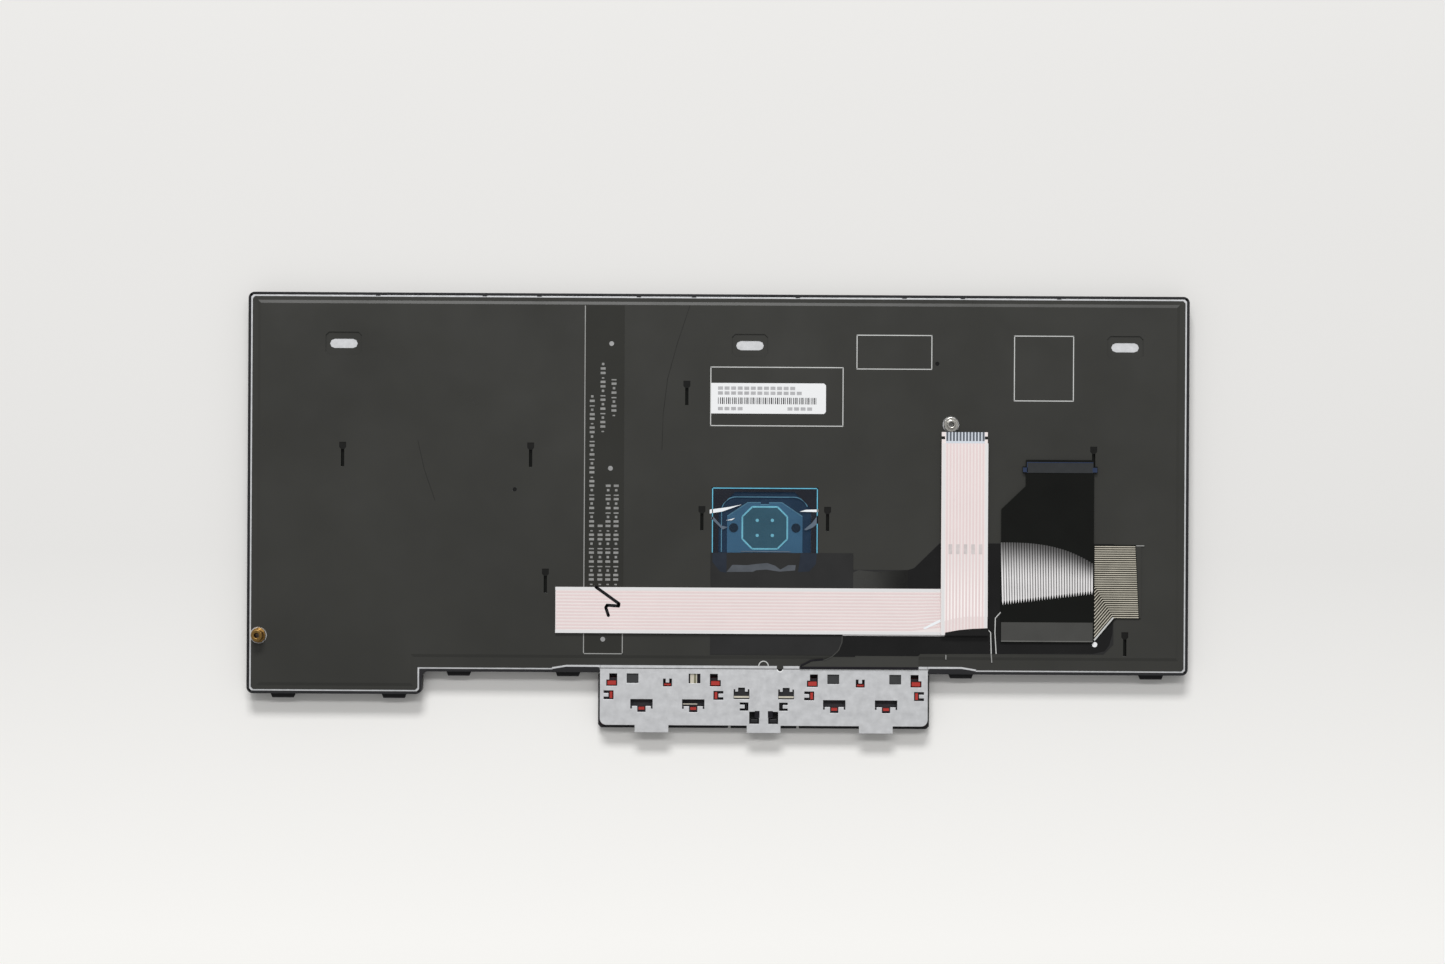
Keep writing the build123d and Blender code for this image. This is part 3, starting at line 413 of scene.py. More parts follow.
def noise(tree, vector, size, detail):
    """Noise with features of about the given size in millimetres."""
    node = tree.nodes.new("ShaderNodeTexNoise")
    node.inputs["Scale"].default_value = 1 / (size * MM)
    node.inputs["Detail"].default_value = detail
    tree.links.new(vector, node.inputs["Vector"])
    return node.outputs["Fac"]


def coordinate(tree, system, axis):
    """One coordinate of the surface in the named system."""
    place = tree.nodes.new("ShaderNodeTexCoord")
    split = tree.nodes.new("ShaderNodeSeparateXYZ")
    tree.links.new(place.outputs[system], split.inputs["Vector"])
    return split.outputs[axis]


def remap(tree, value, low, high, to_low=0.0, to_high=1.0, smooth=False):
    """A value moved from one range to another, and held at its ends."""
    node = tree.nodes.new("ShaderNodeMapRange")
    node.interpolation_type = "SMOOTHSTEP" if smooth else "LINEAR"
    for socket, number in (("From Min", low), ("From Max", high), ("To Min", to_low), ("To Max", to_high)):
        node.inputs[socket].default_value = number
    tree.links.new(value, node.inputs["Value"])
    return node.outputs["Result"]


def dimmed(tree, colour, axis, start, end, share):
    """A colour that falls to a share of itself between two places along X, Y or the UV."""
    if axis == "UV":
        value, unit = coordinate(tree, "UV", "Y"), 1
    else:
        value, unit = coordinate(tree, "Object", axis), MM
    strength = remap(tree, value, start * unit, end * unit, 1.0, share, smooth=True)
    mix = tree.nodes.new("ShaderNodeVectorMath")
    mix.operation = "SCALE"
    tree.links.new(colour, mix.inputs["Vector"])
    tree.links.new(strength, mix.inputs["Scale"])
    return mix.outputs["Vector"]


def material(name, colour, roughness, metallic=0.0, specular=0.3, mottle=0.1, mottle_size=25.0,
             grain=0.1, grain_size=0.4, stretch=(1, 1, 1), alpha=1.0, fade=None):
    """A surface with patches of lighter and darker colour, uneven gloss and a fine grain.

    The colour is as it reads on screen. A fade paints shade on it, dimming it to a share of itself:
    (axis, start, end, share), along X or Y in millimetres or along the mesh's UV.
    """
    base = srgb(*colour)
    made = bpy.data.materials.new(name)
    made.use_nodes = True
    tree = made.node_tree
    shader = tree.nodes["Principled BSDF"]
    shader.inputs["Metallic"].default_value = metallic
    shader.inputs["Specular IOR Level"].default_value = specular
    shader.inputs["Alpha"].default_value = alpha

    place = tree.nodes.new("ShaderNodeTexCoord")
    mapping = tree.nodes.new("ShaderNodeMapping")
    mapping.inputs["Scale"].default_value = stretch
    tree.links.new(place.outputs["Object"], mapping.inputs["Vector"])
    vector = mapping.outputs["Vector"]

    patches = tree.nodes.new("ShaderNodeValToRGB")
    darker, lighter = patches.color_ramp.elements
    darker.position = NOISE_LOW
    lighter.position = NOISE_HIGH
    darker.color = (*[part * (1 - mottle) for part in base], 1)
    lighter.color = (*[part * (1 + mottle) for part in base], 1)
    tree.links.new(noise(tree, vector, mottle_size, 6), patches.inputs["Fac"])
    shade = patches.outputs["Color"]
    if fade:
        shade = dimmed(tree, shade, *fade)
    tree.links.new(shade, shader.inputs["Base Color"])

    gloss = noise(tree, vector, mottle_size / 3, 4)
    smoothest = roughness * (1 - GLOSS_SPREAD)
    roughest = min(1, roughness * (1 + GLOSS_SPREAD))
    uneven = remap(tree, gloss, NOISE_LOW, NOISE_HIGH, smoothest, roughest)
    tree.links.new(uneven, shader.inputs["Roughness"])

    bump = tree.nodes.new("ShaderNodeBump")
    bump.inputs["Strength"].default_value = grain
    bump.inputs["Distance"].default_value = GRAIN_DEPTH * MM
    tree.links.new(noise(tree, vector, grain_size, 3), bump.inputs["Height"])
    tree.links.new(bump.outputs["Normal"], shader.inputs["Normal"])
    return made


film_look = material("dark_film", (51, 51, 48), 0.32, specular=0.35, mottle_size=45, grain=0.06)
dent_shade_look = material("film_dent_shade", (27, 27, 26), 0.5, specular=0.1, mottle=0.15, mottle_size=3)
strip_look = material("strip_film", (49, 49, 46), 0.45, specular=0.1, mottle=0.05)
plastic_look = material("black_plastic", (34, 34, 36), 0.5, specular=0.25, grain=0.2, grain_size=0.2)
cap_look = material("keycap_black", (36, 36, 38), 0.55, specular=0.25, grain=0.25, grain_size=0.15)
plate_look = material("galvanised_steel", (207, 208, 210), 0.5, metallic=0.45, mottle=0.09,
                      mottle_size=2.5, grain=0.03, grain_size=0.5)
sensor_look = material("sensor_steel", (73, 116, 147), 0.4, metallic=0.2, mottle=0.06, mottle_size=5)
octagon_look = material("octagon_steel", (64, 103, 118), 0.4, metallic=0.2, mottle=0.06, mottle_size=4)
standoff_look = material("plain_steel", (190, 188, 182), 0.35, metallic=1.0, mottle_size=1)
brass_look = material("brass", (150, 118, 68), 0.38, metallic=1.0, mottle=0.2, mottle_size=1)
ribbon_look = material("ribbon_white", (232, 223, 221), 0.4, specular=0.2, mottle=0.015, grain=0.03)
margin_look = material("ribbon_margin", (222, 221, 221), 0.4, specular=0.2, mottle=0.015)
conductor_look = material("ribbon_conductor", (227, 208, 207), 0.4, specular=0.2, mottle=0.02, mottle_size=6)
band_look = material("ribbon_stiffener", (208, 214, 222), 0.35, mottle=0.03)
contact_look = material("contact_grey", (105, 110, 118), 0.4, metallic=0.4, mottle=0.08, mottle_size=2)
membrane_look = material("switch_film", (16, 17, 15), 0.25, specular=0.2, grain=0.05)
trace_look = material("silver_trace", (232, 230, 230), 0.4, metallic=0.1, mottle=0.06, mottle_size=9,
                      fade=TRACE_SHADE_FADE)
sheen_look = material("trace_sheen", (116, 114, 114), 0.4, specular=0.2, mottle_size=9, fade=TRACE_SHADE_FADE)
cream_look = material("cream_trace", (194, 189, 174), 0.4, specular=0.2, mottle_size=5)
umber_look = material("trace_gap", (50, 47, 40), 0.4, specular=0.2, mottle=0.25, mottle_size=5)
fold_edge_look = material("fold_edge", (104, 104, 101), 0.35, mottle=0.15, mottle_size=6)
grey_sheen_look = material("grey_sheen", (70, 70, 68), 0.35, specular=0.2, mottle=0.08, mottle_size=10)
stiff_look = material("stiffener", (49, 51, 53), 0.35, specular=0.2, mottle=0.06, mottle_size=4)
blue_line_look = material("blue_line", (42, 54, 80), 0.4, specular=0.2, mottle=0.15, mottle_size=3)
tape_look = material("black_tape", (43, 43, 43), 0.4, specular=0.15, mottle_size=14)
gloss_look = material("gloss_tape", (27, 27, 27), 0.25, specular=0.2, mottle=0.15, mottle_size=14, grain=0.05)
label_look = material("paper", (232, 233, 234), 0.7, specular=0.2, mottle=0.015)
ink_look = material("grey_ink", (62, 62, 64), 0.6, specular=0.1, mottle_size=2)
pale_ink_look = material("pale_ink", (176, 176, 178), 0.6, specular=0.1, mottle_size=2)
stamp_look = material("pale_stamp", (204, 196, 195), 0.6, specular=0.1, mottle_size=2)
print_look = material("white_print", (196, 197, 195), 0.5, specular=0.2, mottle=0.08, mottle_size=8)
strip_mark_look = material("strip_mark", (140, 140, 138), 0.5, specular=0.2, mottle=0.15, mottle_size=3)
faint_print_look = material("faint_print", (150, 150, 148), 0.5, specular=0.2, mottle_size=8)
pen_look = material("pen_ink", (18, 17, 20), 0.35, mottle=0.15, mottle_size=1)
scratch_look = material("scratch", (42, 42, 40), 0.35, specular=0.2, mottle=0.2, mottle_size=6)
tape_tint_look = material("tape_tint", (40, 46, 56), 0.4, specular=0.15, mottle=0.15, mottle_size=4)
tape_crease_highlight_look = material("tape_crease_highlight", (80, 84, 90), 0.35, specular=0.2, mottle=0.15, mottle_size=4)
hole_shade_look = material("hole_shade", (26, 26, 26), 0.5, specular=0.1, mottle=0.2, mottle_size=1)
dot_look = material("bright_dot", (178, 178, 178), 0.35, metallic=0.6, mottle_size=1)
gasket_look = material("gasket", (38, 52, 70), 0.6, specular=0.1, mottle=0.2, mottle_size=4)
shade_look = material("film_shade", (37, 32, 31), 0.5, specular=0.1, mottle=0.15, mottle_size=6)
blue_look = material("blue_film", (34, 62, 88), 0.15, mottle=0.2, mottle_size=9, grain=0.05, alpha=0.14)
film_edge_highlight_look = material("cyan_edge_highlight", (104, 186, 214), 0.25, specular=0.4, mottle=0.12, mottle_size=4)
bright_look = material("cyan_glint", (136, 216, 238), 0.25, specular=0.4, mottle=0.15, mottle_size=5)
dim_highlight_look = material("dim_edge_highlight", (98, 146, 170), 0.3, mottle=0.2, mottle_size=4)
white_highlight_look = material("white_highlight", (236, 240, 243), 0.2, specular=0.4, mottle=0.04)
dim_crease_highlight_look = material("dim_crease_highlight", (92, 104, 118), 0.25, mottle=0.15, mottle_size=3)
rivet_look = material("dark_rivet", (34, 40, 46), 0.4, metallic=0.3, mottle=0.15, mottle_size=1)
red_look = material("red_plastic", (168, 52, 46), 0.42, mottle=0.08)
stick_look = material("red_rubber", (170, 34, 32), 0.8, specular=0.2, grain=0.5, grain_size=0.25)
flex_look = material("contact_flex", (44, 44, 46), 0.4, specular=0.2, mottle_size=3)
leaf_look = material("contact_leaf", (206, 200, 184), 0.35, metallic=0.2, mottle=0.08, mottle_size=2)
button_pad_look = material("button_pad", (72, 72, 76), 0.5, specular=0.2, mottle_size=5)
post_look = material("button_post", (58, 59, 60), 0.5, specular=0.2, mottle_size=2)
olive_look = material("leaf_shade", (120, 118, 96), 0.4, specular=0.2, mottle_size=1)
slot_shade_look = material("slot_shade", (30, 29, 33), 0.5, specular=0.1, mottle=0.15, mottle_size=1)
lit_lap_look = material("film_lap", (58, 58, 55), 0.32, specular=0.35, mottle=0.06, mottle_size=20)
gloss_reflection_look = material("gloss_reflection", (60, 60, 58), 0.3, specular=0.2, mottle=0.08, mottle_size=6,
                          fade=("X", 43, 58, 0.26))
riser_sheen_look = material("ribbon_sheen", (246, 240, 238), 0.4, specular=0.2, mottle=0.01, fade=("Y",
                            -26, -12, 0.86))
guide_look = material("light_sheet", (150, 152, 152), 0.2, specular=0.4, mottle=0.05)
dome_look = material("dome_rubber", (206, 206, 200), 0.6, mottle=0.05)
link_look = material("link_plastic", (200, 200, 196), 0.45, mottle=0.05)

NODE_LOOKS = {
    "keyboard_frame": plastic_look,
    "base_plate": plate_look,
    "switch_membrane": membrane_look,
    "light_guide": guide_look,
    "back_film": film_look,
    "led_strip": strip_look,
    "rubber_domes": dome_look,
    "scissor_links": link_look,
    "stick_sensor": sensor_look,
    "stick_cap": stick_look,
    "sensor_film": blue_look,
    "stick_cable": ribbon_look,
    "left_button_cap": plastic_look,
    "right_button_cap": plastic_look,
    "middle_button": plastic_look,
    "left_button_body": red_look,
    "right_button_body": red_look,
    "button_switch_flex": flex_look,
    "brass_insert": brass_look,
    "steel_standoff": standoff_look,
    "black_tapes": tape_look,
    "blank_label": label_look,
}

NODE_BEVELS = {
    "keyboard_frame": 0.1,
    "base_plate": 0.08,
    "back_film": 0.1,
    "left_button_cap": 0.3,
    "right_button_cap": 0.3,
    "middle_button": 0.3,
    "brass_insert": 0.15,
    "steel_standoff": 0.15,
    "stick_cap": 0.2,
}
KEY_BEVEL = 0.35


def is_keycap(node):
    return node.startswith("key_") or node.endswith("_keys")


def soften(thing, width):
    """Small rounded edges on a CAD node."""
    weld = thing.modifiers.new("weld", "WELD")
    weld.merge_threshold = WELD_DISTANCE * MM
    flatten = thing.modifiers.new("flatten", "DECIMATE")
    flatten.decimate_type = "DISSOLVE"
    flatten.angle_limit = math.radians(FLAT_ANGLE)
    bevel = thing.modifiers.new("edges", "BEVEL")
    bevel.width = width * MM
    bevel.segments = BEVEL_SEGMENTS
    bevel.limit_method = "ANGLE"
    bevel.angle_limit = math.radians(BEVEL_ANGLE)


for name, thing in frame["nodes"].items():
    look = cap_look if is_keycap(name) else NODE_LOOKS.get(name)
    if look:
        thing.data.materials.clear()
        thing.data.materials.append(look)
    width = KEY_BEVEL if is_keycap(name) else NODE_BEVELS.get(name)
    if width:
        soften(thing, width)


# Flat pieces

def add_prism(mesh, outline, low, high):
    """A closed slab on an outline."""
    bottom = [mesh.verts.new((x * MM, y * MM, low * MM)) for x, y in outline]
    top = [mesh.verts.new((x * MM, y * MM, high * MM)) for x, y in outline]
    mesh.faces.new(bottom)
    mesh.faces.new(top)
    for index in range(len(outline)):
        mesh.faces.new((bottom[index - 1], bottom[index], top[index], top[index - 1]))


def rectangle(left, right, front, rear):
    return [(left, front), (right, front), (right, rear), (left, rear)]


def disc(x, y, radius, sides=24):
    turn = 2 * math.pi / sides
    return [(x + radius * math.cos(turn * step), y + radius * math.sin(turn * step)) for step in range(sides)]


def arc(x, y, radius, start, end, steps=8):
    """Points on an arc, with its angles in degrees."""
    angles = [math.radians(start + (end - start) * step / steps) for step in range(steps + 1)]
    return [(x + radius * math.cos(angle), y + radius * math.sin(angle)) for angle in angles]


def line(points, width):
    """The outline of a line of even width through the points."""
    left = []
    right = []
    for index, point in enumerate(points):
        before = Vector(points[max(index - 1, 0)])
        after = Vector(points[min(index + 1, len(points) - 1)])
        along = (after - before).normalized()
        side = Vector((-along.y, along.x)) * width / 2
        left.append(tuple(Vector(point) + side))
        right.append(tuple(Vector(point) - side))
    return left + right[::-1]


def stroke(points, width):
    """Straight lines between the points, with round joints and ends."""
    pieces = [line(pair, width) for pair in zip(points, points[1:])]
    return pieces + [disc(*point, width / 2) for point in points]


def frame_lines(left, right, front, rear, width):
    """The four sides of a drawn box."""
    half = width / 2
    return [
        rectangle(left - half, right + half, front - half, front + half),
        rectangle(left - half, right + half, rear - half, rear + half),
        rectangle(left - half, left + half, front, rear),
        rectangle(right - half, right + half, front, rear),
    ]


def add_object(name, data):
    thing = bpy.data.objects.new(name, data)
    bpy.context.scene.collection.objects.link(thing)
    return thing


def finish_piece(name, mesh, look, body="chassis"):
    """Turns a bmesh into a named piece that rides on a body."""
    bmesh.ops.recalc_face_normals(mesh, faces=mesh.faces)
    data = bpy.data.meshes.new(name)
    mesh.to_mesh(data)
    mesh.free()
    data.materials.append(look)
    thing = add_object(name, data)
    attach(thing, body)
    return thing


def flat_piece(name, outlines, low, look, thick=PRINT_THICK, body="chassis"):
    """A piece made of thin slabs that lie on a surface at the given height."""
    mesh = bmesh.new()
    for outline in outlines:
        add_prism(mesh, outline, low, low + thick)
    return finish_piece(name, mesh, look, body)


# Print on the film and the strip

printed = [side for box in PRINTED_BOXES for side in frame_lines(*box, LINE_WIDTH)]
flat_piece("film_print", printed, film_top, print_look)
half_ring = line(arc(*HALF_RING_PLACE, HALF_RING_RADIUS, 0, 180, 12), LINE_WIDTH)
flat_piece("film_half_ring", [half_ring], border_top, print_look)
flat_piece("film_scratches", [line(points, SCRATCH_WIDTH) for points in SCRATCHES], film_top, scratch_look)

strip_left, strip_right, strip_front, strip_rear = sides("led_strip")
run_left, riser_right, run_front, riser_rear = sides("stick_cable")
strip_top = top_of("led_strip")
strip_edges = [
    rectangle(strip_left, strip_left + LINE_WIDTH, strip_front, strip_rear),
    rectangle(strip_left, strip_right, strip_front, strip_front + LINE_WIDTH),
    rectangle(strip_right - LINE_WIDTH, strip_right, strip_front, run_front),
]
flat_piece("strip_edge_print", strip_edges, strip_top, faint_print_look)
strip_dots = [disc(*place, STRIP_DOT_RADIUS) for place in STRIP_DOT_PLACES]
flat_piece("strip_dots", strip_dots, strip_top, dot_look)

# Every third mark is narrow and every fourth is short
strip_marks = []
for x, front, rear in STRIP_COLUMNS:
    for index in range(int((rear - front) / STRIP_MARK_PITCH)):
        y = front + index * STRIP_MARK_PITCH
        half = STRIP_MARK_WIDTH / (2 if index % 3 else 4)
        length = STRIP_MARK_LENGTH * (STRIP_LONG_SHARE if index % 4 else STRIP_SHORT_SHARE)
        strip_marks.append(rectangle(x - half, x + half, y, y + length))
flat_piece("strip_marks", strip_marks, strip_top, strip_mark_look)

# Plain marks on the label

band_left, band_right, band_front, band_rear = LABEL_BAND
label_bars = []
for index in range(int((band_right - band_left) / LABEL_BAR_PITCH)):
    x = band_left + index * LABEL_BAR_PITCH
    width = LABEL_BAR_PITCH * LABEL_BAR_SHARES[index % len(LABEL_BAR_SHARES)]
    label_bars.append(rectangle(x, x + width, band_front, band_rear))
label_dashes = []
for y, left, right in LABEL_ROWS:
    for index in range(int((right - left) / (LABEL_DASH_LENGTH + LABEL_DASH_GAP))):
        x = left + index * (LABEL_DASH_LENGTH + LABEL_DASH_GAP)
        half = LABEL_DASH_WIDTH / 2
        label_dashes.append(rectangle(x, x + LABEL_DASH_LENGTH, y - half, y + half))
flat_piece("label_bars", label_bars, top_of("blank_label"), ink_look)
flat_piece("label_dashes", label_dashes, top_of("blank_label"), pale_ink_look)

# Ribbon cable

riser_left = riser_right - RIBBON_WIDTH
way_edge = (RIBBON_WIDTH - (RIBBON_WAYS - 1) * RIBBON_PITCH) / 2

run_conductors = []
riser_conductors = []
contacts = []
half = CONTACT_WIDTH / 2
for way in range(RIBBON_WAYS):
    offset = way_edge + way * RIBBON_PITCH
    y = run_front + offset
    lift = RUN_LIFT * (1 - way / RIBBON_WAYS) ** 2
    bend = (riser_left - RUN_LIFT_LENGTH, y)
    run_points = [(run_left + LINE_WIDTH, y), bend, (riser_left, y + lift)]
    run_conductors.append(line(run_points, CONDUCTOR_WIDTH))
    x = riser_left + offset
    riser_points = [(x, run_front + LINE_WIDTH), (x, riser_rear - CONTACT_BAND)]
    riser_conductors.append(line(riser_points, CONDUCTOR_WIDTH))
    contacts.append(rectangle(x - half, x + half, riser_rear - CONTACT_LENGTH, riser_rear))
run_rear = run_front + RIBBON_WIDTH
run_margins = [
    rectangle(run_left, riser_left, run_front, run_front + RIBBON_MARGIN),
    rectangle(run_left, riser_left, run_rear - RIBBON_MARGIN, run_rear),
]
riser_margins = [
    rectangle(riser_left, riser_left + RIBBON_MARGIN, run_front, riser_rear - CONTACT_BAND),
    rectangle(riser_right - RIBBON_MARGIN, riser_right, run_front, riser_rear - CONTACT_BAND),
]
flat_piece("ribbon_run_margins", run_margins, run_top, margin_look)
flat_piece("ribbon_riser_margins", riser_margins, riser_top, margin_look)
riser_marks = []
for index in range(RISER_MARK_COUNT):
    x = RISER_MARK_LEFT + index * RISER_MARK_PITCH
    low = RISER_MARK_Y - RISER_MARK_LENGTH / 2
    riser_marks.append(rectangle(x, x + RISER_MARK_WIDTH, low, low + RISER_MARK_LENGTH))
flat_piece("ribbon_marks", riser_marks, riser_top + PRINT_THICK, stamp_look)
flat_piece("ribbon_run_conductors", run_conductors, run_top, conductor_look)
flat_piece("ribbon_riser_conductors", riser_conductors, riser_top, conductor_look)
band_sides = (riser_left + CONTACT_BAND_INSET, riser_right - CONTACT_BAND_INSET)
contact_band = rectangle(*band_sides, riser_rear - CONTACT_BAND, riser_rear)
flat_piece("ribbon_contact_band", [contact_band], riser_top, band_look)
flat_piece("ribbon_contacts", contacts, riser_top + PRINT_THICK, contact_look)
flat_piece("pen_mark", stroke(PEN_POINTS, PEN_WIDTH), run_top + PRINT_THICK, pen_look)
under_edge = rectangle(*UNDER_EDGE, run_front - UNDER_EDGE_WIDTH, run_front + UNDER_EDGE_WIDTH)
flat_piece("ribbon_under_edge", [under_edge], run_top - RIBBON_LAYER, margin_look)
flat_piece("ribbon_glint", [BEND_GLINT], run_top + PRINT_THICK, white_highlight_look)
sheen = [
    (riser_left, RISER_SHEEN_REAR),
    (riser_left, BEND_LINE[0][1]),
    *BEND_LINE,
    (riser_right, RISER_SHEEN_REAR),
]
flat_piece("ribbon_riser_sheen", [sheen], riser_top, riser_sheen_look,
           thick=PRINT_THICK / 2)
# A dark piece in the glossy tape's look over the ribbon's corner below the bend, so that the ribbon ends
# along the bend
bend_front = run_front - BEND_COVER_LAP
bend_cover = [*BEND_EDGE, (BEND_EDGE[-1][0], bend_front), (BEND_EDGE[0][0], bend_front)]
flat_piece("ribbon_bend_cover", [bend_cover], riser_top + PRINT_THICK, gloss_look)

# Membrane tail

def trace_ends(share):
    """The front and rear ends of the silver traces, across the tail from left to right."""
    share = min(max(share, 0), 1)
    rear = TRACE_TOP_Y - TRACE_TOP_DROP * share ** TRACE_TOP_CURVE
    front = TRACE_LOW_LEFT_Y + share * (TRACE_LOW_RIGHT_Y - TRACE_LOW_LEFT_Y)
    return front, rear


def trace_piece(name, outlines, low, look):
    """Thin slabs with a UV for the painted shade, which runs up to the traces' rear ends, less far on the
    left.
    """
    mesh = bmesh.new()
    for outline in outlines:
        add_prism(mesh, outline, low, low + PRINT_THICK)
    layer = mesh.loops.layers.uv.new("along")
    for face in mesh.faces:
        for loop in face.loops:
            x, y = (loop.vert.co / MM).xy
            share = (x - TRACE_LEFT) / (TRACE_RIGHT - TRACE_LEFT)
            front, rear = trace_ends(share)
            reach = TRACE_SHADE_FADE_LEFT + (1 - TRACE_SHADE_FADE_LEFT) * share
            loop[layer].uv = (share, (y - front) / (rear - front) * reach)
    finish_piece(name, mesh, look)


traces = []
sheen_rear = []
sheen_front = []
for index in range(TRACE_COUNT):
    share = index / (TRACE_COUNT - 1)
    x = TRACE_LEFT + share * (TRACE_RIGHT - TRACE_LEFT)
    rear_x = x - TRACE_FAN * (1 - share)
    front, rear = trace_ends(share)
    half = TRACE_WIDTH / 2
    tip = [(x - half, front + TRACE_TIP), (x, front), (x + half, front + TRACE_TIP)]
    traces.append(tip + [(rear_x + half, rear), (rear_x - half, rear)])
    sheen_front.append((x, front + TRACE_TIP))
    sheen_rear.append((rear_x, rear))
# The grey between the traces is a painted sheen, and it and the traces darken towards the rear as painted
# shade
trace_piece("tail_sheen", [sheen_front + sheen_rear[::-1]], tail_top, sheen_look)
trace_piece("tail_traces", traces, tail_top + PRINT_THICK, trace_look)

side_traces = []
for index in range(SIDE_TRACE_COUNT):
    share = index / (SIDE_TRACE_COUNT - 1)
    y = SIDE_TRACE_REAR + share * (SIDE_TRACE_FRONT - SIDE_TRACE_REAR)
    bent_share = max(0, share - SIDE_BEND_START) / (1 - SIDE_BEND_START)
    bend = SIDE_TRACE_LEFT + (SIDE_BEND_RIGHT - SIDE_TRACE_LEFT) * bent_share
    points = [(SIDE_TRACE_RIGHT + share * SIDE_TRACE_SLANT, y), (bend, y)]
    if bend > SIDE_TRACE_LEFT:
        points.append((SIDE_TRACE_LEFT, y - SIDE_SLOPE * (bend - SIDE_TRACE_LEFT)))
    side_traces.append(line(points, SIDE_TRACE_WIDTH))
side_drop = SIDE_SLOPE * (SIDE_BEND_RIGHT - SIDE_TRACE_LEFT)
side_base = [
    (SIDE_TRACE_LEFT, SIDE_TRACE_FRONT - side_drop),
    (SIDE_BEND_RIGHT, SIDE_TRACE_FRONT),
    (SIDE_TRACE_RIGHT + SIDE_TRACE_SLANT, SIDE_TRACE_FRONT),
    (SIDE_TRACE_RIGHT, SIDE_TRACE_REAR),
    (SIDE_TRACE_LEFT, SIDE_TRACE_REAR),
]
side_edge = line([(SIDE_BEND_RIGHT, SIDE_TRACE_FRONT), (SIDE_TRACE_LEFT, SIDE_TRACE_FRONT - side_drop)],
                 SIDE_EDGE_WIDTH)
flat_piece("tail_side_base", [side_base], tail_under_top, umber_look)
flat_piece("tail_side_traces", side_traces, tail_under_top + PRINT_THICK, cream_look)
flat_piece("tail_side_edge", [side_edge], tail_under_top + 2 * PRINT_THICK, print_look)

# Painted sheen on the bulge of the tail's fold
flat_piece("fold_band", [rectangle(*FOLD_BAND)], tail_top, grey_sheen_look)
band_left, band_right, band_front, band_rear = FOLD_BAND
fold_edge = rectangle(band_left, band_right, band_front, band_front + FOLD_EDGE_LINE)
flat_piece("fold_edge", [fold_edge], tail_top + PRINT_THICK, fold_edge_look)
# A painted glint at the fold's corner, in the label's paper look
spot = disc(*FOLD_GLINT, FOLD_GLINT_RADIUS)
flat_piece("fold_glint", [spot], tape_top + PRINT_THICK, label_look)
film_ticks = [line(points, LINE_WIDTH) for points in (FOLD_LINE_END, FILM_TICK)]
flat_piece("film_ticks", film_ticks, film_top, faint_print_look)
flat_piece("slot_cover", [SLOT_COVER], tail_under_top, film_look)

stiff_left, stiff_right, stiff_front, stiff_rear = STIFFENER_FACE
stiff_top = top_of("switch_membrane")
flat_piece("stiffener_face", [rectangle(*STIFFENER_FACE)], stiff_top, stiff_look)
ear_rows = (stiff_front + STIFFENER_EAR_GAP, stiff_front + STIFFENER_EAR_LENGTH)
stiff_ears = [
    rectangle(stiff_left - STIFFENER_EAR_WIDTH, stiff_left + STIFFENER_LINE, *ear_rows),
    rectangle(stiff_right - STIFFENER_LINE, stiff_right + STIFFENER_EAR_WIDTH, *ear_rows),
]
stiff_edges = [
    rectangle(stiff_left, stiff_right, stiff_rear, stiff_rear + STIFFENER_LINE),
    rectangle(stiff_left, stiff_left + STIFFENER_LINE, stiff_front, stiff_rear),
]
stiff_lines = stiff_ears + stiff_edges
flat_piece("stiffener_lines", stiff_lines, stiff_top + PRINT_THICK, blue_line_look)
fold_lines = [line(points, LINE_WIDTH) for points in FOLD_LINES]
flat_piece("fold_line_print", fold_lines, tape_top + PRINT_THICK, print_look)
slot_tick = line(SLOT_TICK, LINE_WIDTH)
flat_piece("slot_tick", [slot_tick], tail_under_top + PRINT_THICK, faint_print_look)

# Sensor under the blue film

def at_stick(points):
    return [(stick_x + x, stick_y + y) for x, y in points]


def cut_rectangle(half_width, front, rear, cut_front, cut_rear):
    """A rectangle about the stick's axis with cut corners."""
    right = [
        (half_width - cut_front, front),
        (half_width, front + cut_front),
        (half_width, rear - cut_rear),
        (half_width - cut_rear, rear),
    ]
    return right + [(-x, y) for x, y in reversed(right)]


gasket = cut_rectangle(GASKET_HALF_WIDTH, GASKET_FRONT, GASKET_REAR, GASKET_FRONT_CHAMFER, GASKET_CHAMFER)
flat_piece("sensor_gasket", [at_stick(gasket)], plate_top, gasket_look)
shade_side = SENSOR_FRAME_HALF_WIDTH - SHADE_INSET
shade_corner_y = GASKET_REAR - GASKET_CHAMFER
shade_right = [
    (GASKET_HALF_WIDTH, SENSOR_FRAME_FRONT),
    (shade_side, SENSOR_FRAME_FRONT),
    (shade_side, SENSOR_FRAME_REAR),
    (0, SENSOR_FRAME_REAR),
    (0, GASKET_REAR),
    (GASKET_HALF_WIDTH - GASKET_CHAMFER, GASKET_REAR),
    (GASKET_HALF_WIDTH, shade_corner_y),
]
shade_left = [(-x, y) for x, y in reversed(shade_right)]
flat_piece("film_shade", [at_stick(shade_right), at_stick(shade_left)], film_top, shade_look)

sensor_top = plate_top + SENSOR_THICK
octagon_top = sensor_top + OCTAGON_RISE
octagon = cut_rectangle(OCTAGON_HALF_WIDTH, -OCTAGON_HALF_DEPTH, OCTAGON_HALF_DEPTH, OCTAGON_CHAMFER,
                        OCTAGON_CHAMFER)
octagon_sides = [
    line(at_stick([octagon[index - 1], octagon[index]]), OCTAGON_LINE) for index in range(len(octagon))
]
flat_piece("sensor_octagon_face", [at_stick(octagon)], octagon_top, octagon_look)
octagon_top += PRINT_THICK
# Painted glints along the octagon's edges
flat_piece("sensor_octagon_edge", octagon_sides, octagon_top, bright_look)
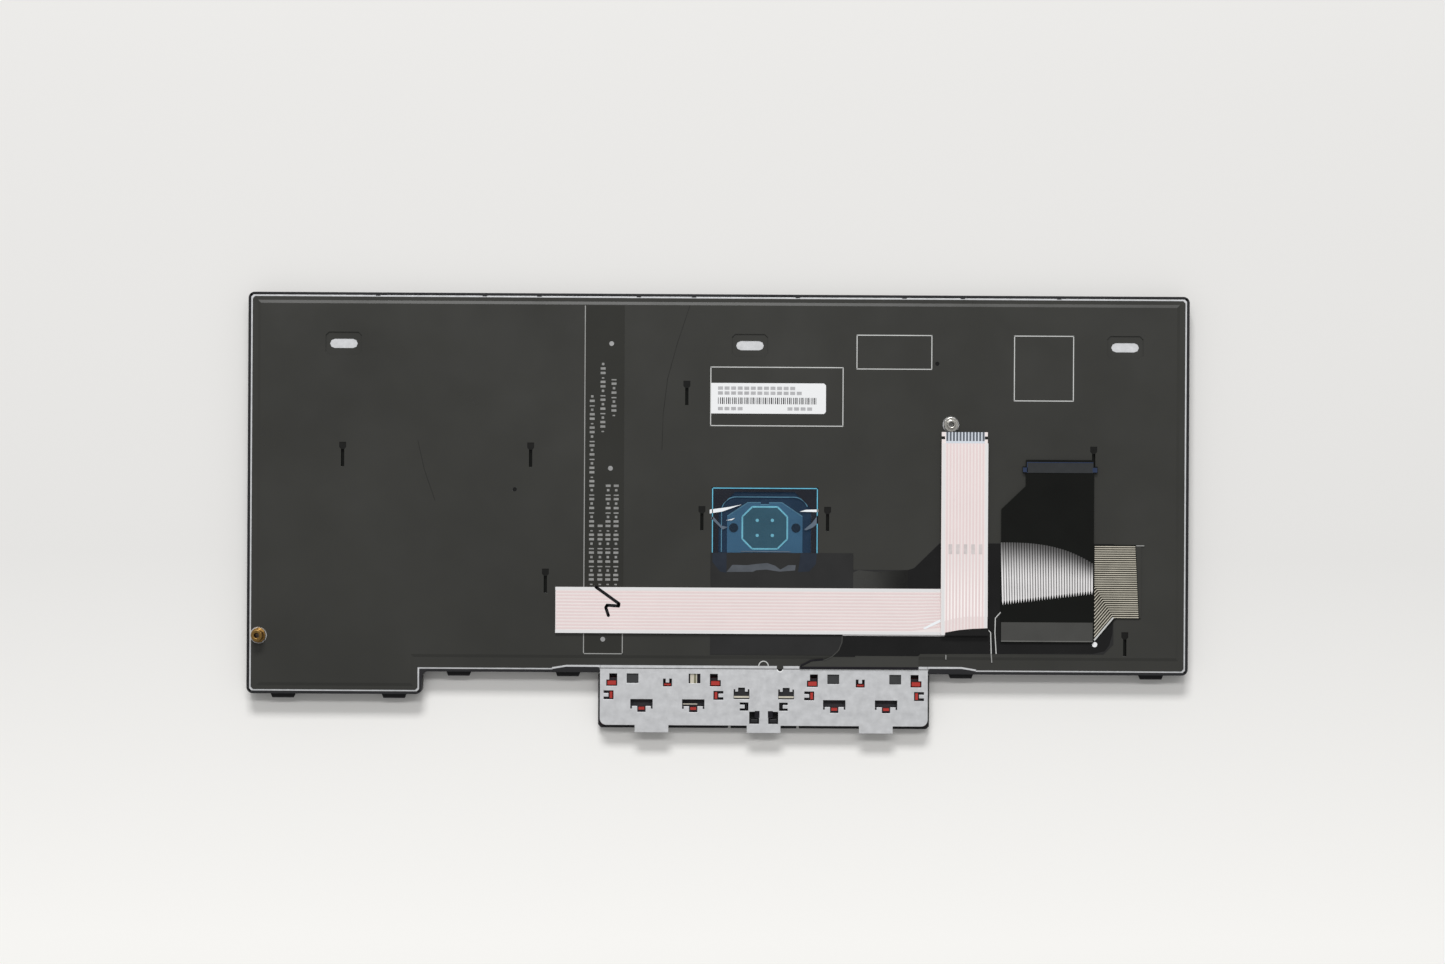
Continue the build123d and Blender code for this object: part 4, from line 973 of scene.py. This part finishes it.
# A dimmer painted highlight along the sensor plate's edge
flat_piece("sensor_plate_edge", [line(at_stick(SENSOR_EDGE), SENSOR_EDGE_LINE)], sensor_top, dim_highlight_look)
# The four pads are real, and are drawn in the same painted glint colour
pad_places = [(x, y) for x in (-PAD_OFFSET, PAD_OFFSET) for y in (-PAD_OFFSET, PAD_OFFSET)]
pads = [disc(stick_x + x, stick_y + y, PAD_RADIUS) for x, y in pad_places]
flat_piece("sensor_pads", pads, octagon_top, bright_look)
rivets = [disc(stick_x + side * RIVET_OFFSET, stick_y, RIVET_RADIUS) for side in (-1, 1)]
flat_piece("sensor_rivets", rivets, sensor_top + RIVET_RISE, rivet_look)

arch_corner_x = ARCH_HALF_WIDTH - ARCH_RADIUS
arch_corner_y = ARCH_REAR - ARCH_RADIUS
arch = [(-ARCH_HALF_WIDTH, ARCH_FRONT)]
arch += arc(-arch_corner_x, arch_corner_y, ARCH_RADIUS, 180, 90)
arch += arc(arch_corner_x, arch_corner_y, ARCH_RADIUS, 90, ARCH_END_ANGLE)
# A dimmer painted highlight along an arch-shaped edge under the film
flat_piece("sensor_arch", [line(at_stick(arch), SENSOR_EDGE_LINE)], film_top - PRINT_THICK, dim_highlight_look)

blue_top = top_of("sensor_film")
frame_left = stick_x - SENSOR_FRAME_HALF_WIDTH
frame_right = stick_x + SENSOR_FRAME_HALF_WIDTH
frame_rear = stick_y + SENSOR_FRAME_REAR
frame_front = stick_y + SENSOR_FRAME_FRONT
film_frame = [
    rectangle(frame_left, frame_right, frame_rear - SENSOR_EDGE_LINE, frame_rear),
    rectangle(frame_left, frame_left + SENSOR_EDGE_LINE, frame_front, frame_rear),
    rectangle(frame_right - SENSOR_EDGE_LINE, frame_right, frame_front, frame_rear),
]
# Painted highlights along the blue film's edges
flat_piece("sensor_film_edge_highlight", film_frame, blue_top, film_edge_highlight_look)

# Painted highlights along creases of the blue film
white_crease_highlights = [at_stick(points) for points in WHITE_CREASE_HIGHLIGHTS]
flat_piece("film_crease_highlights", white_crease_highlights, blue_top, white_highlight_look)
# Dimmer painted highlights along more creases of the blue film
dim_crease_highlights = [at_stick(points) for points in DIM_CREASE_HIGHLIGHTS]
flat_piece("film_dim_crease_highlights", dim_crease_highlights, blue_top, dim_crease_highlight_look)

cover_top = blue_top + TAPE_THICK
tape_tints = [at_stick(points) for points in TAPE_TINTS]
flat_piece("tape_tint", tape_tints, cover_top, tape_tint_look)
# A painted highlight along a crease of the cover tape
flat_piece("tape_crease_highlight", [at_stick(TAPE_CREASE_HIGHLIGHT)], cover_top, tape_crease_highlight_look)
flat_piece("gloss_face", [GLOSS_FACE], tape_top, gloss_look)
# A painted reflection on the glossy tape's left end, fading towards the right
flat_piece("gloss_reflection", [GLOSS_REFLECTION], tape_top, gloss_reflection_look)

# Dents and holes of the film, with painted shade in them, and laps of the film

# The film in the keyhole dents is painted darker than the rest, as painted shade
heads = []
head_front = KEYHOLE_END - KEYHOLE_HEAD_LENGTH
for x, y in KEYHOLE_PLACES:
    heads.append([
        (x - KEYHOLE_STEM / 2, y + head_front),
        (x + KEYHOLE_STEM / 2, y + head_front),
        (x + KEYHOLE_HEAD_WIDTH / 2, y + head_front + KEYHOLE_HEAD_TAPER),
        (x + KEYHOLE_HEAD_WIDTH / 2, y + KEYHOLE_END),
        (x - KEYHOLE_HEAD_WIDTH / 2, y + KEYHOLE_END),
        (x - KEYHOLE_HEAD_WIDTH / 2, y + head_front + KEYHOLE_HEAD_TAPER),
    ])
flat_piece("keyhole_dent_shades", heads, film_top - FILM_BORDER_THICK, dent_shade_look)
guide_top = plate_top + GUIDE_THICK
# Painted shade in the pin holes
pin_shades = [disc(*place, PIN_HOLE_RADIUS, PIN_HOLE_SIDES) for place in PIN_HOLE_PLACES]
flat_piece("pin_hole_shades", pin_shades, guide_top, hole_shade_look)

# The lap is real film, drawn a little lighter than the rest as a painted highlight
lap = list(LAP_CURVE) + [(LAP_RIGHT, LAP_FRONT), (LAP_RIGHT, LAP_REAR), (LAP_LEFT, LAP_REAR)]
lap_low = [point for point in lap if point[1] <= LAP_REAR]
lap_top = film_top + PRINT_THICK
flat_piece("film_lap", [lap_low], border_top, lit_lap_look, thick=lap_top - border_top)
# Painted shadow lines along the lap's front edge and its curve
lap_shadow_curve = [(x - LAP_SHADOW_SHIFT, y + LAP_SHADOW_SHIFT) for x, y in LAP_CURVE[LAP_GLINT_POINTS - 1:]]
lap_shadows = [
    rectangle(LAP_SHADOW_LEFT, LAP_RIGHT, LAP_FRONT - LAP_SHADOW, LAP_FRONT),
    line(lap_shadow_curve, 2 * LINE_WIDTH),
]
flat_piece("film_lap_shadow", lap_shadows, lap_top, slot_shade_look)
cover_tape_top = top_of("black_tapes")
gloss_curve = LAP_CURVE[:GLOSS_CORNER_POINTS]
gloss_side = [(GLOSS_CORNER_RIGHT, gloss_curve[-1][1]), (GLOSS_CORNER_RIGHT, gloss_curve[0][1])]
gloss_corner = [*gloss_curve, *gloss_side]
flat_piece("gloss_corner", [gloss_corner], cover_tape_top, gloss_look)
lap_glint = line(LAP_CURVE[:LAP_GLINT_POINTS], LINE_WIDTH)
flat_piece("film_lap_glint", [lap_glint], cover_tape_top + PRINT_THICK, grey_sheen_look)
# Painted shade in the notch at the plate's front edge
notch = arc(*NOTCH_PLACE, NOTCH_RADIUS, 180, 360, 10)
flat_piece("film_notch", [notch], plate_top, hole_shade_look)
# A painted highlight on the lit side of the notch's rim, in the label's paper look
rim_arc = arc(*NOTCH_PLACE, NOTCH_RADIUS + NOTCH_RIM_GAP, *NOTCH_RIM_ANGLES, 10)
notch_rim = line(rim_arc, NOTCH_RIM_WIDTH)
flat_piece("film_notch_rim", [notch_rim], plate_top, label_look)


# Button plate

def on_plate(left, right, front, rear):
    """A rectangle measured from the plate's axis and front edge."""
    return rectangle(stick_x + left, stick_x + right, PLATE_FRONT + front, PLATE_FRONT + rear)


half, hole_front, hole_rear = LEAF_HOLE
leaf_base = on_plate(LEAF_X - half, LEAF_X + half, hole_front, hole_rear)
# Painted shade at the base of the contact hole, behind the leaves
flat_piece("contact_base", [leaf_base], FLEX_TOP, slot_shade_look)
leaves = [on_plate(LEAF_X + left, LEAF_X + right, hole_front, hole_rear) for left, right in LEAF_STRIPES]
flat_piece("contact_leaves", leaves, FLEX_TOP + PRINT_THICK, leaf_look)
leaf_shade = on_plate(LEAF_X + LEAF_SHADE[0], LEAF_X + LEAF_SHADE[1], hole_front, hole_rear)
flat_piece("contact_leaf_shade", [leaf_shade], FLEX_TOP + PRINT_THICK, olive_look)
levers = [on_plate(*LEVER_X, *LEVER_ROWS), on_plate(-LEVER_X[1], -LEVER_X[0], *LEVER_ROWS)]
levers.append(on_plate(*TEE_LEVER_X, *TEE_LEVER_ROWS))
flat_piece("button_levers", levers, FLEX_TOP, leaf_look)

# Painted shade in the narrow slots beside the plate's bent tongues, and in the front cuts
ears = []
for side in (-1, 1):
    for middle, half, (width, front, rear) in (
        (TEE_X[0], TEE_HALF_WIDTH, TEE_EAR),
        (TEE_X[1], TEE_HALF_WIDTH, TEE_EAR),
        (MIDDLE_TEE_X, MIDDLE_TEE_HALF_WIDTH, MIDDLE_EAR),
    ):
        for end in (-1, 1):
            x = side * middle + end * (half - width / 2)
            ears.append(on_plate(x - width / 2, x + width / 2, front, rear))
near, far, front, rear = FRONT_CUT_SHADE
for side in (-1, 1):
    ears.append(on_plate(*sorted((side * near, side * far)), front, rear))
flat_piece("tongue_slots", ears, plate_top, slot_shade_look)

# The plate shows a little further in along the button plate than along the rest of the front edge
neck_steel = []
neck_rim = []
for side in (-1, 1):
    neck_steel.append([(stick_x + side * x, y) for x, y in NECK_STEEL_END])
    neck_rim.append([(stick_x + side * x, y) for x, y in NECK_RIM])
neck_spans = (
    (stick_x - NECK_HALF_WIDTH, NECK_NOTCH[0]),
    (NECK_NOTCH[1], NECK_LAP_LEFT),
    (LAP_RIGHT, stick_x + NECK_HALF_WIDTH),
)
neck_steel += [rectangle(*span, NECK_FRONT, NECK_REAR) for span in neck_spans]
flat_piece("neck_steel", neck_steel, border_top, plate_look)
flat_piece("neck_rim", neck_rim, border_top + 2 * PRINT_THICK, plastic_look)

post_width, post_depth = POST_SIZE
post_rows = (POST_ROW - post_depth / 2, POST_ROW + post_depth / 2)
post_thick = plate_top - POST_DEEP - BODY_TOP
half, *shade_rows = HOOK_SHADE
for name in ("left_button", "right_button"):
    left, right, front, rear = sides(name + "_body")
    pad = rectangle(left + PAD_INSET, right - PAD_INSET, front + PAD_INSET, rear - PAD_INSET)
    flat_piece(name + "_pad", [pad], BODY_TOP, button_pad_look, body=name)
    side = 1 if (left + right) / 2 > stick_x else -1
    post_places = [x for x in POST_PLACES if x * side > 0]
    posts = [on_plate(x - post_width / 2, x + post_width / 2, *post_rows) for x in post_places]
    flat_piece(name + "_posts", posts, BODY_TOP, post_look, thick=post_thick, body=name)
    shades = [on_plate(side * x - half, side * x + half, *shade_rows) for x in TEE_X]
    flat_piece(name + "_hook_shade", shades, HOOK_TOP, slot_shade_look, body=name)


# Switches: one dome and two links per scissor

def dome_mesh(x, y, base, height):
    """A rubber dome with its wide end on the membrane."""
    mesh = bmesh.new()
    rings = []
    for radius, share in DOME_PROFILE:
        z = base - share * height
        ring = disc(x, y, radius, DOME_SIDES)
        rings.append([mesh.verts.new((px * MM, py * MM, z * MM)) for px, py in ring])
    for lower, upper in zip(rings, rings[1:]):
        for index in range(DOME_SIDES):
            mesh.faces.new((lower[index - 1], lower[index], upper[index], upper[index - 1]))
    mesh.faces.new(rings[0])
    mesh.faces.new(rings[-1])
    return mesh


def link_mesh(x, y, middle, width, slope, height):
    """A scissor link: a flat U, tilted between the membrane and the keycap."""
    half_length = LINK_LENGTH / 2
    half_width = width / 2
    outline = [
        (-half_length, -half_width),
        (half_length, -half_width),
        (half_length, LINK_ARM - half_width),
        (LINK_ARM - half_length, LINK_ARM - half_width),
        (LINK_ARM - half_length, half_width - LINK_ARM),
        (half_length, half_width - LINK_ARM),
        (half_length, half_width),
        (-half_length, half_width),
    ]
    mesh = bmesh.new()
    add_prism(mesh, outline, -LINK_THICK / 2, LINK_THICK / 2)
    bmesh.ops.bevel(mesh, geom=list(mesh.edges), offset=LINK_ROUND * MM, segments=1, affect="EDGES")
    reach = math.hypot(LINK_LENGTH, LINK_THICK) / 2
    tilt = math.asin(height / 2 / reach) - math.atan2(LINK_THICK, LINK_LENGTH)
    place = Matrix.Translation((x * MM, y * MM, middle * MM)) @ Matrix.Rotation(slope * tilt, 4, "Y")
    bmesh.ops.transform(mesh, matrix=place, verts=mesh.verts)
    return mesh


membrane_low = top_of("rubber_domes")
switch_height = membrane_low - ROOF_HEIGHT
inner_width = LINK_LENGTH - 2 * LINK_ARM - 2 * LINK_GAP

for joint in frame["joints"]:
    key = joint["child"]
    if not is_keycap(key):
        continue
    x, y = middle_of(key)
    if key in STICK_KEYS:
        y += math.copysign(STICK_LINK_SHIFT, y - stick_y)
    places = [x]
    if key == "key_space":
        left, right, *_ = sides(key)
        quarter = (right - left) / 4
        places = [x - quarter, x + quarter]
    for number, place in enumerate(places):
        tag = f"{key}_{number}"
        dome = finish_piece("dome_" + tag, dome_mesh(place, y, membrane_low, switch_height), dome_look)
        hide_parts("rubber_domes")
        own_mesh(dome)
        middle = (membrane_low + ROOF_HEIGHT) / 2
        turn = -1 if key in MIRRORED_LINK_KEYS else 1
        for width, slope, label in ((LINK_LENGTH, turn, "outer"), (inner_width, -turn, "inner")):
            mesh = link_mesh(place, y, middle, width, slope, switch_height)
            part = finish_piece(f"link_{label}_{tag}", mesh, link_look)
            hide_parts("scissor_links")
            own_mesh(part)


# Floor, light and camera

def floor_material():
    """A pale floor, a little darker towards the rear as painted shade."""
    made = bpy.data.materials.new("pale_floor")
    made.use_nodes = True
    tree = made.node_tree
    shader = tree.nodes["Principled BSDF"]
    shader.inputs["Roughness"].default_value = FLOOR_ROUGHNESS
    shader.inputs["Specular IOR Level"].default_value = 0.0
    share = remap(tree, coordinate(tree, "Object", "Y"), -GRADIENT_HALF * MM, GRADIENT_HALF * MM)
    ramp = tree.nodes.new("ShaderNodeValToRGB")
    ramp.color_ramp.elements[0].color = (*srgb(*FLOOR_FRONT_COLOUR), 1)
    ramp.color_ramp.elements[1].color = (*srgb(*FLOOR_REAR_COLOUR), 1)
    ramp.color_ramp.elements.new(FLOOR_MIDDLE_SHARE).color = (*srgb(*FLOOR_MIDDLE_COLOUR), 1)
    tree.links.new(share, ramp.inputs["Fac"])
    tree.links.new(ramp.outputs["Color"], shader.inputs["Base Color"])
    return made


def add_floor():
    half = FLOOR_SIZE / 2 * MM
    data = bpy.data.meshes.new("floor")
    corners = [(-half, -half, 0), (half, -half, 0), (half, half, 0), (-half, half, 0)]
    data.from_pydata(corners, [], [(0, 1, 2, 3)])
    data.materials.append(floor_material())
    floor = add_object("floor", data)


def add_lamp(name, place, width, depth, power):
    """A soft lamp that faces the middle of the board."""
    data = bpy.data.lights.new(name, "AREA")
    data.shape = "RECTANGLE"
    data.size = width
    data.size_y = depth
    data.energy = power
    lamp = add_object(name, data)
    lamp.location = place
    lamp.rotation_euler = (-Vector(place)).to_track_quat("-Z", "Y").to_euler()


def add_world():
    """Even light from all sides, dimmer overhead so that gloss stays dark."""
    world = bpy.data.worlds.new("studio")
    world.use_nodes = True
    tree = world.node_tree
    background = tree.nodes["Background"]
    background.inputs["Color"].default_value = (1, 1, 1, 1)
    strength = remap(tree, coordinate(tree, "Generated", "Z"), *SKY_HEIGHTS, *SKY_STRENGTHS)
    tree.links.new(strength, background.inputs["Strength"])
    bpy.context.scene.world = world


def add_camera():
    data = bpy.data.cameras.new("camera")
    data.sensor_fit = "HORIZONTAL"
    data.sensor_width = SENSOR_WIDTH
    data.lens = SENSOR_WIDTH * CAMERA_HEIGHT / VIEW_WIDTH
    camera = add_object("camera", data)
    camera.location = (VIEW_CENTRE[0] * MM, VIEW_CENTRE[1] * MM, (film_top + CAMERA_HEIGHT) * MM)
    camera.rotation_euler = (0, 0, CAMERA_ROLL)
    bpy.context.scene.camera = camera


add_floor()
add_world()
for name, lamp in LAMPS.items():
    add_lamp(name, *lamp)
add_camera()
bpy.context.scene.view_settings.view_transform = "Standard"
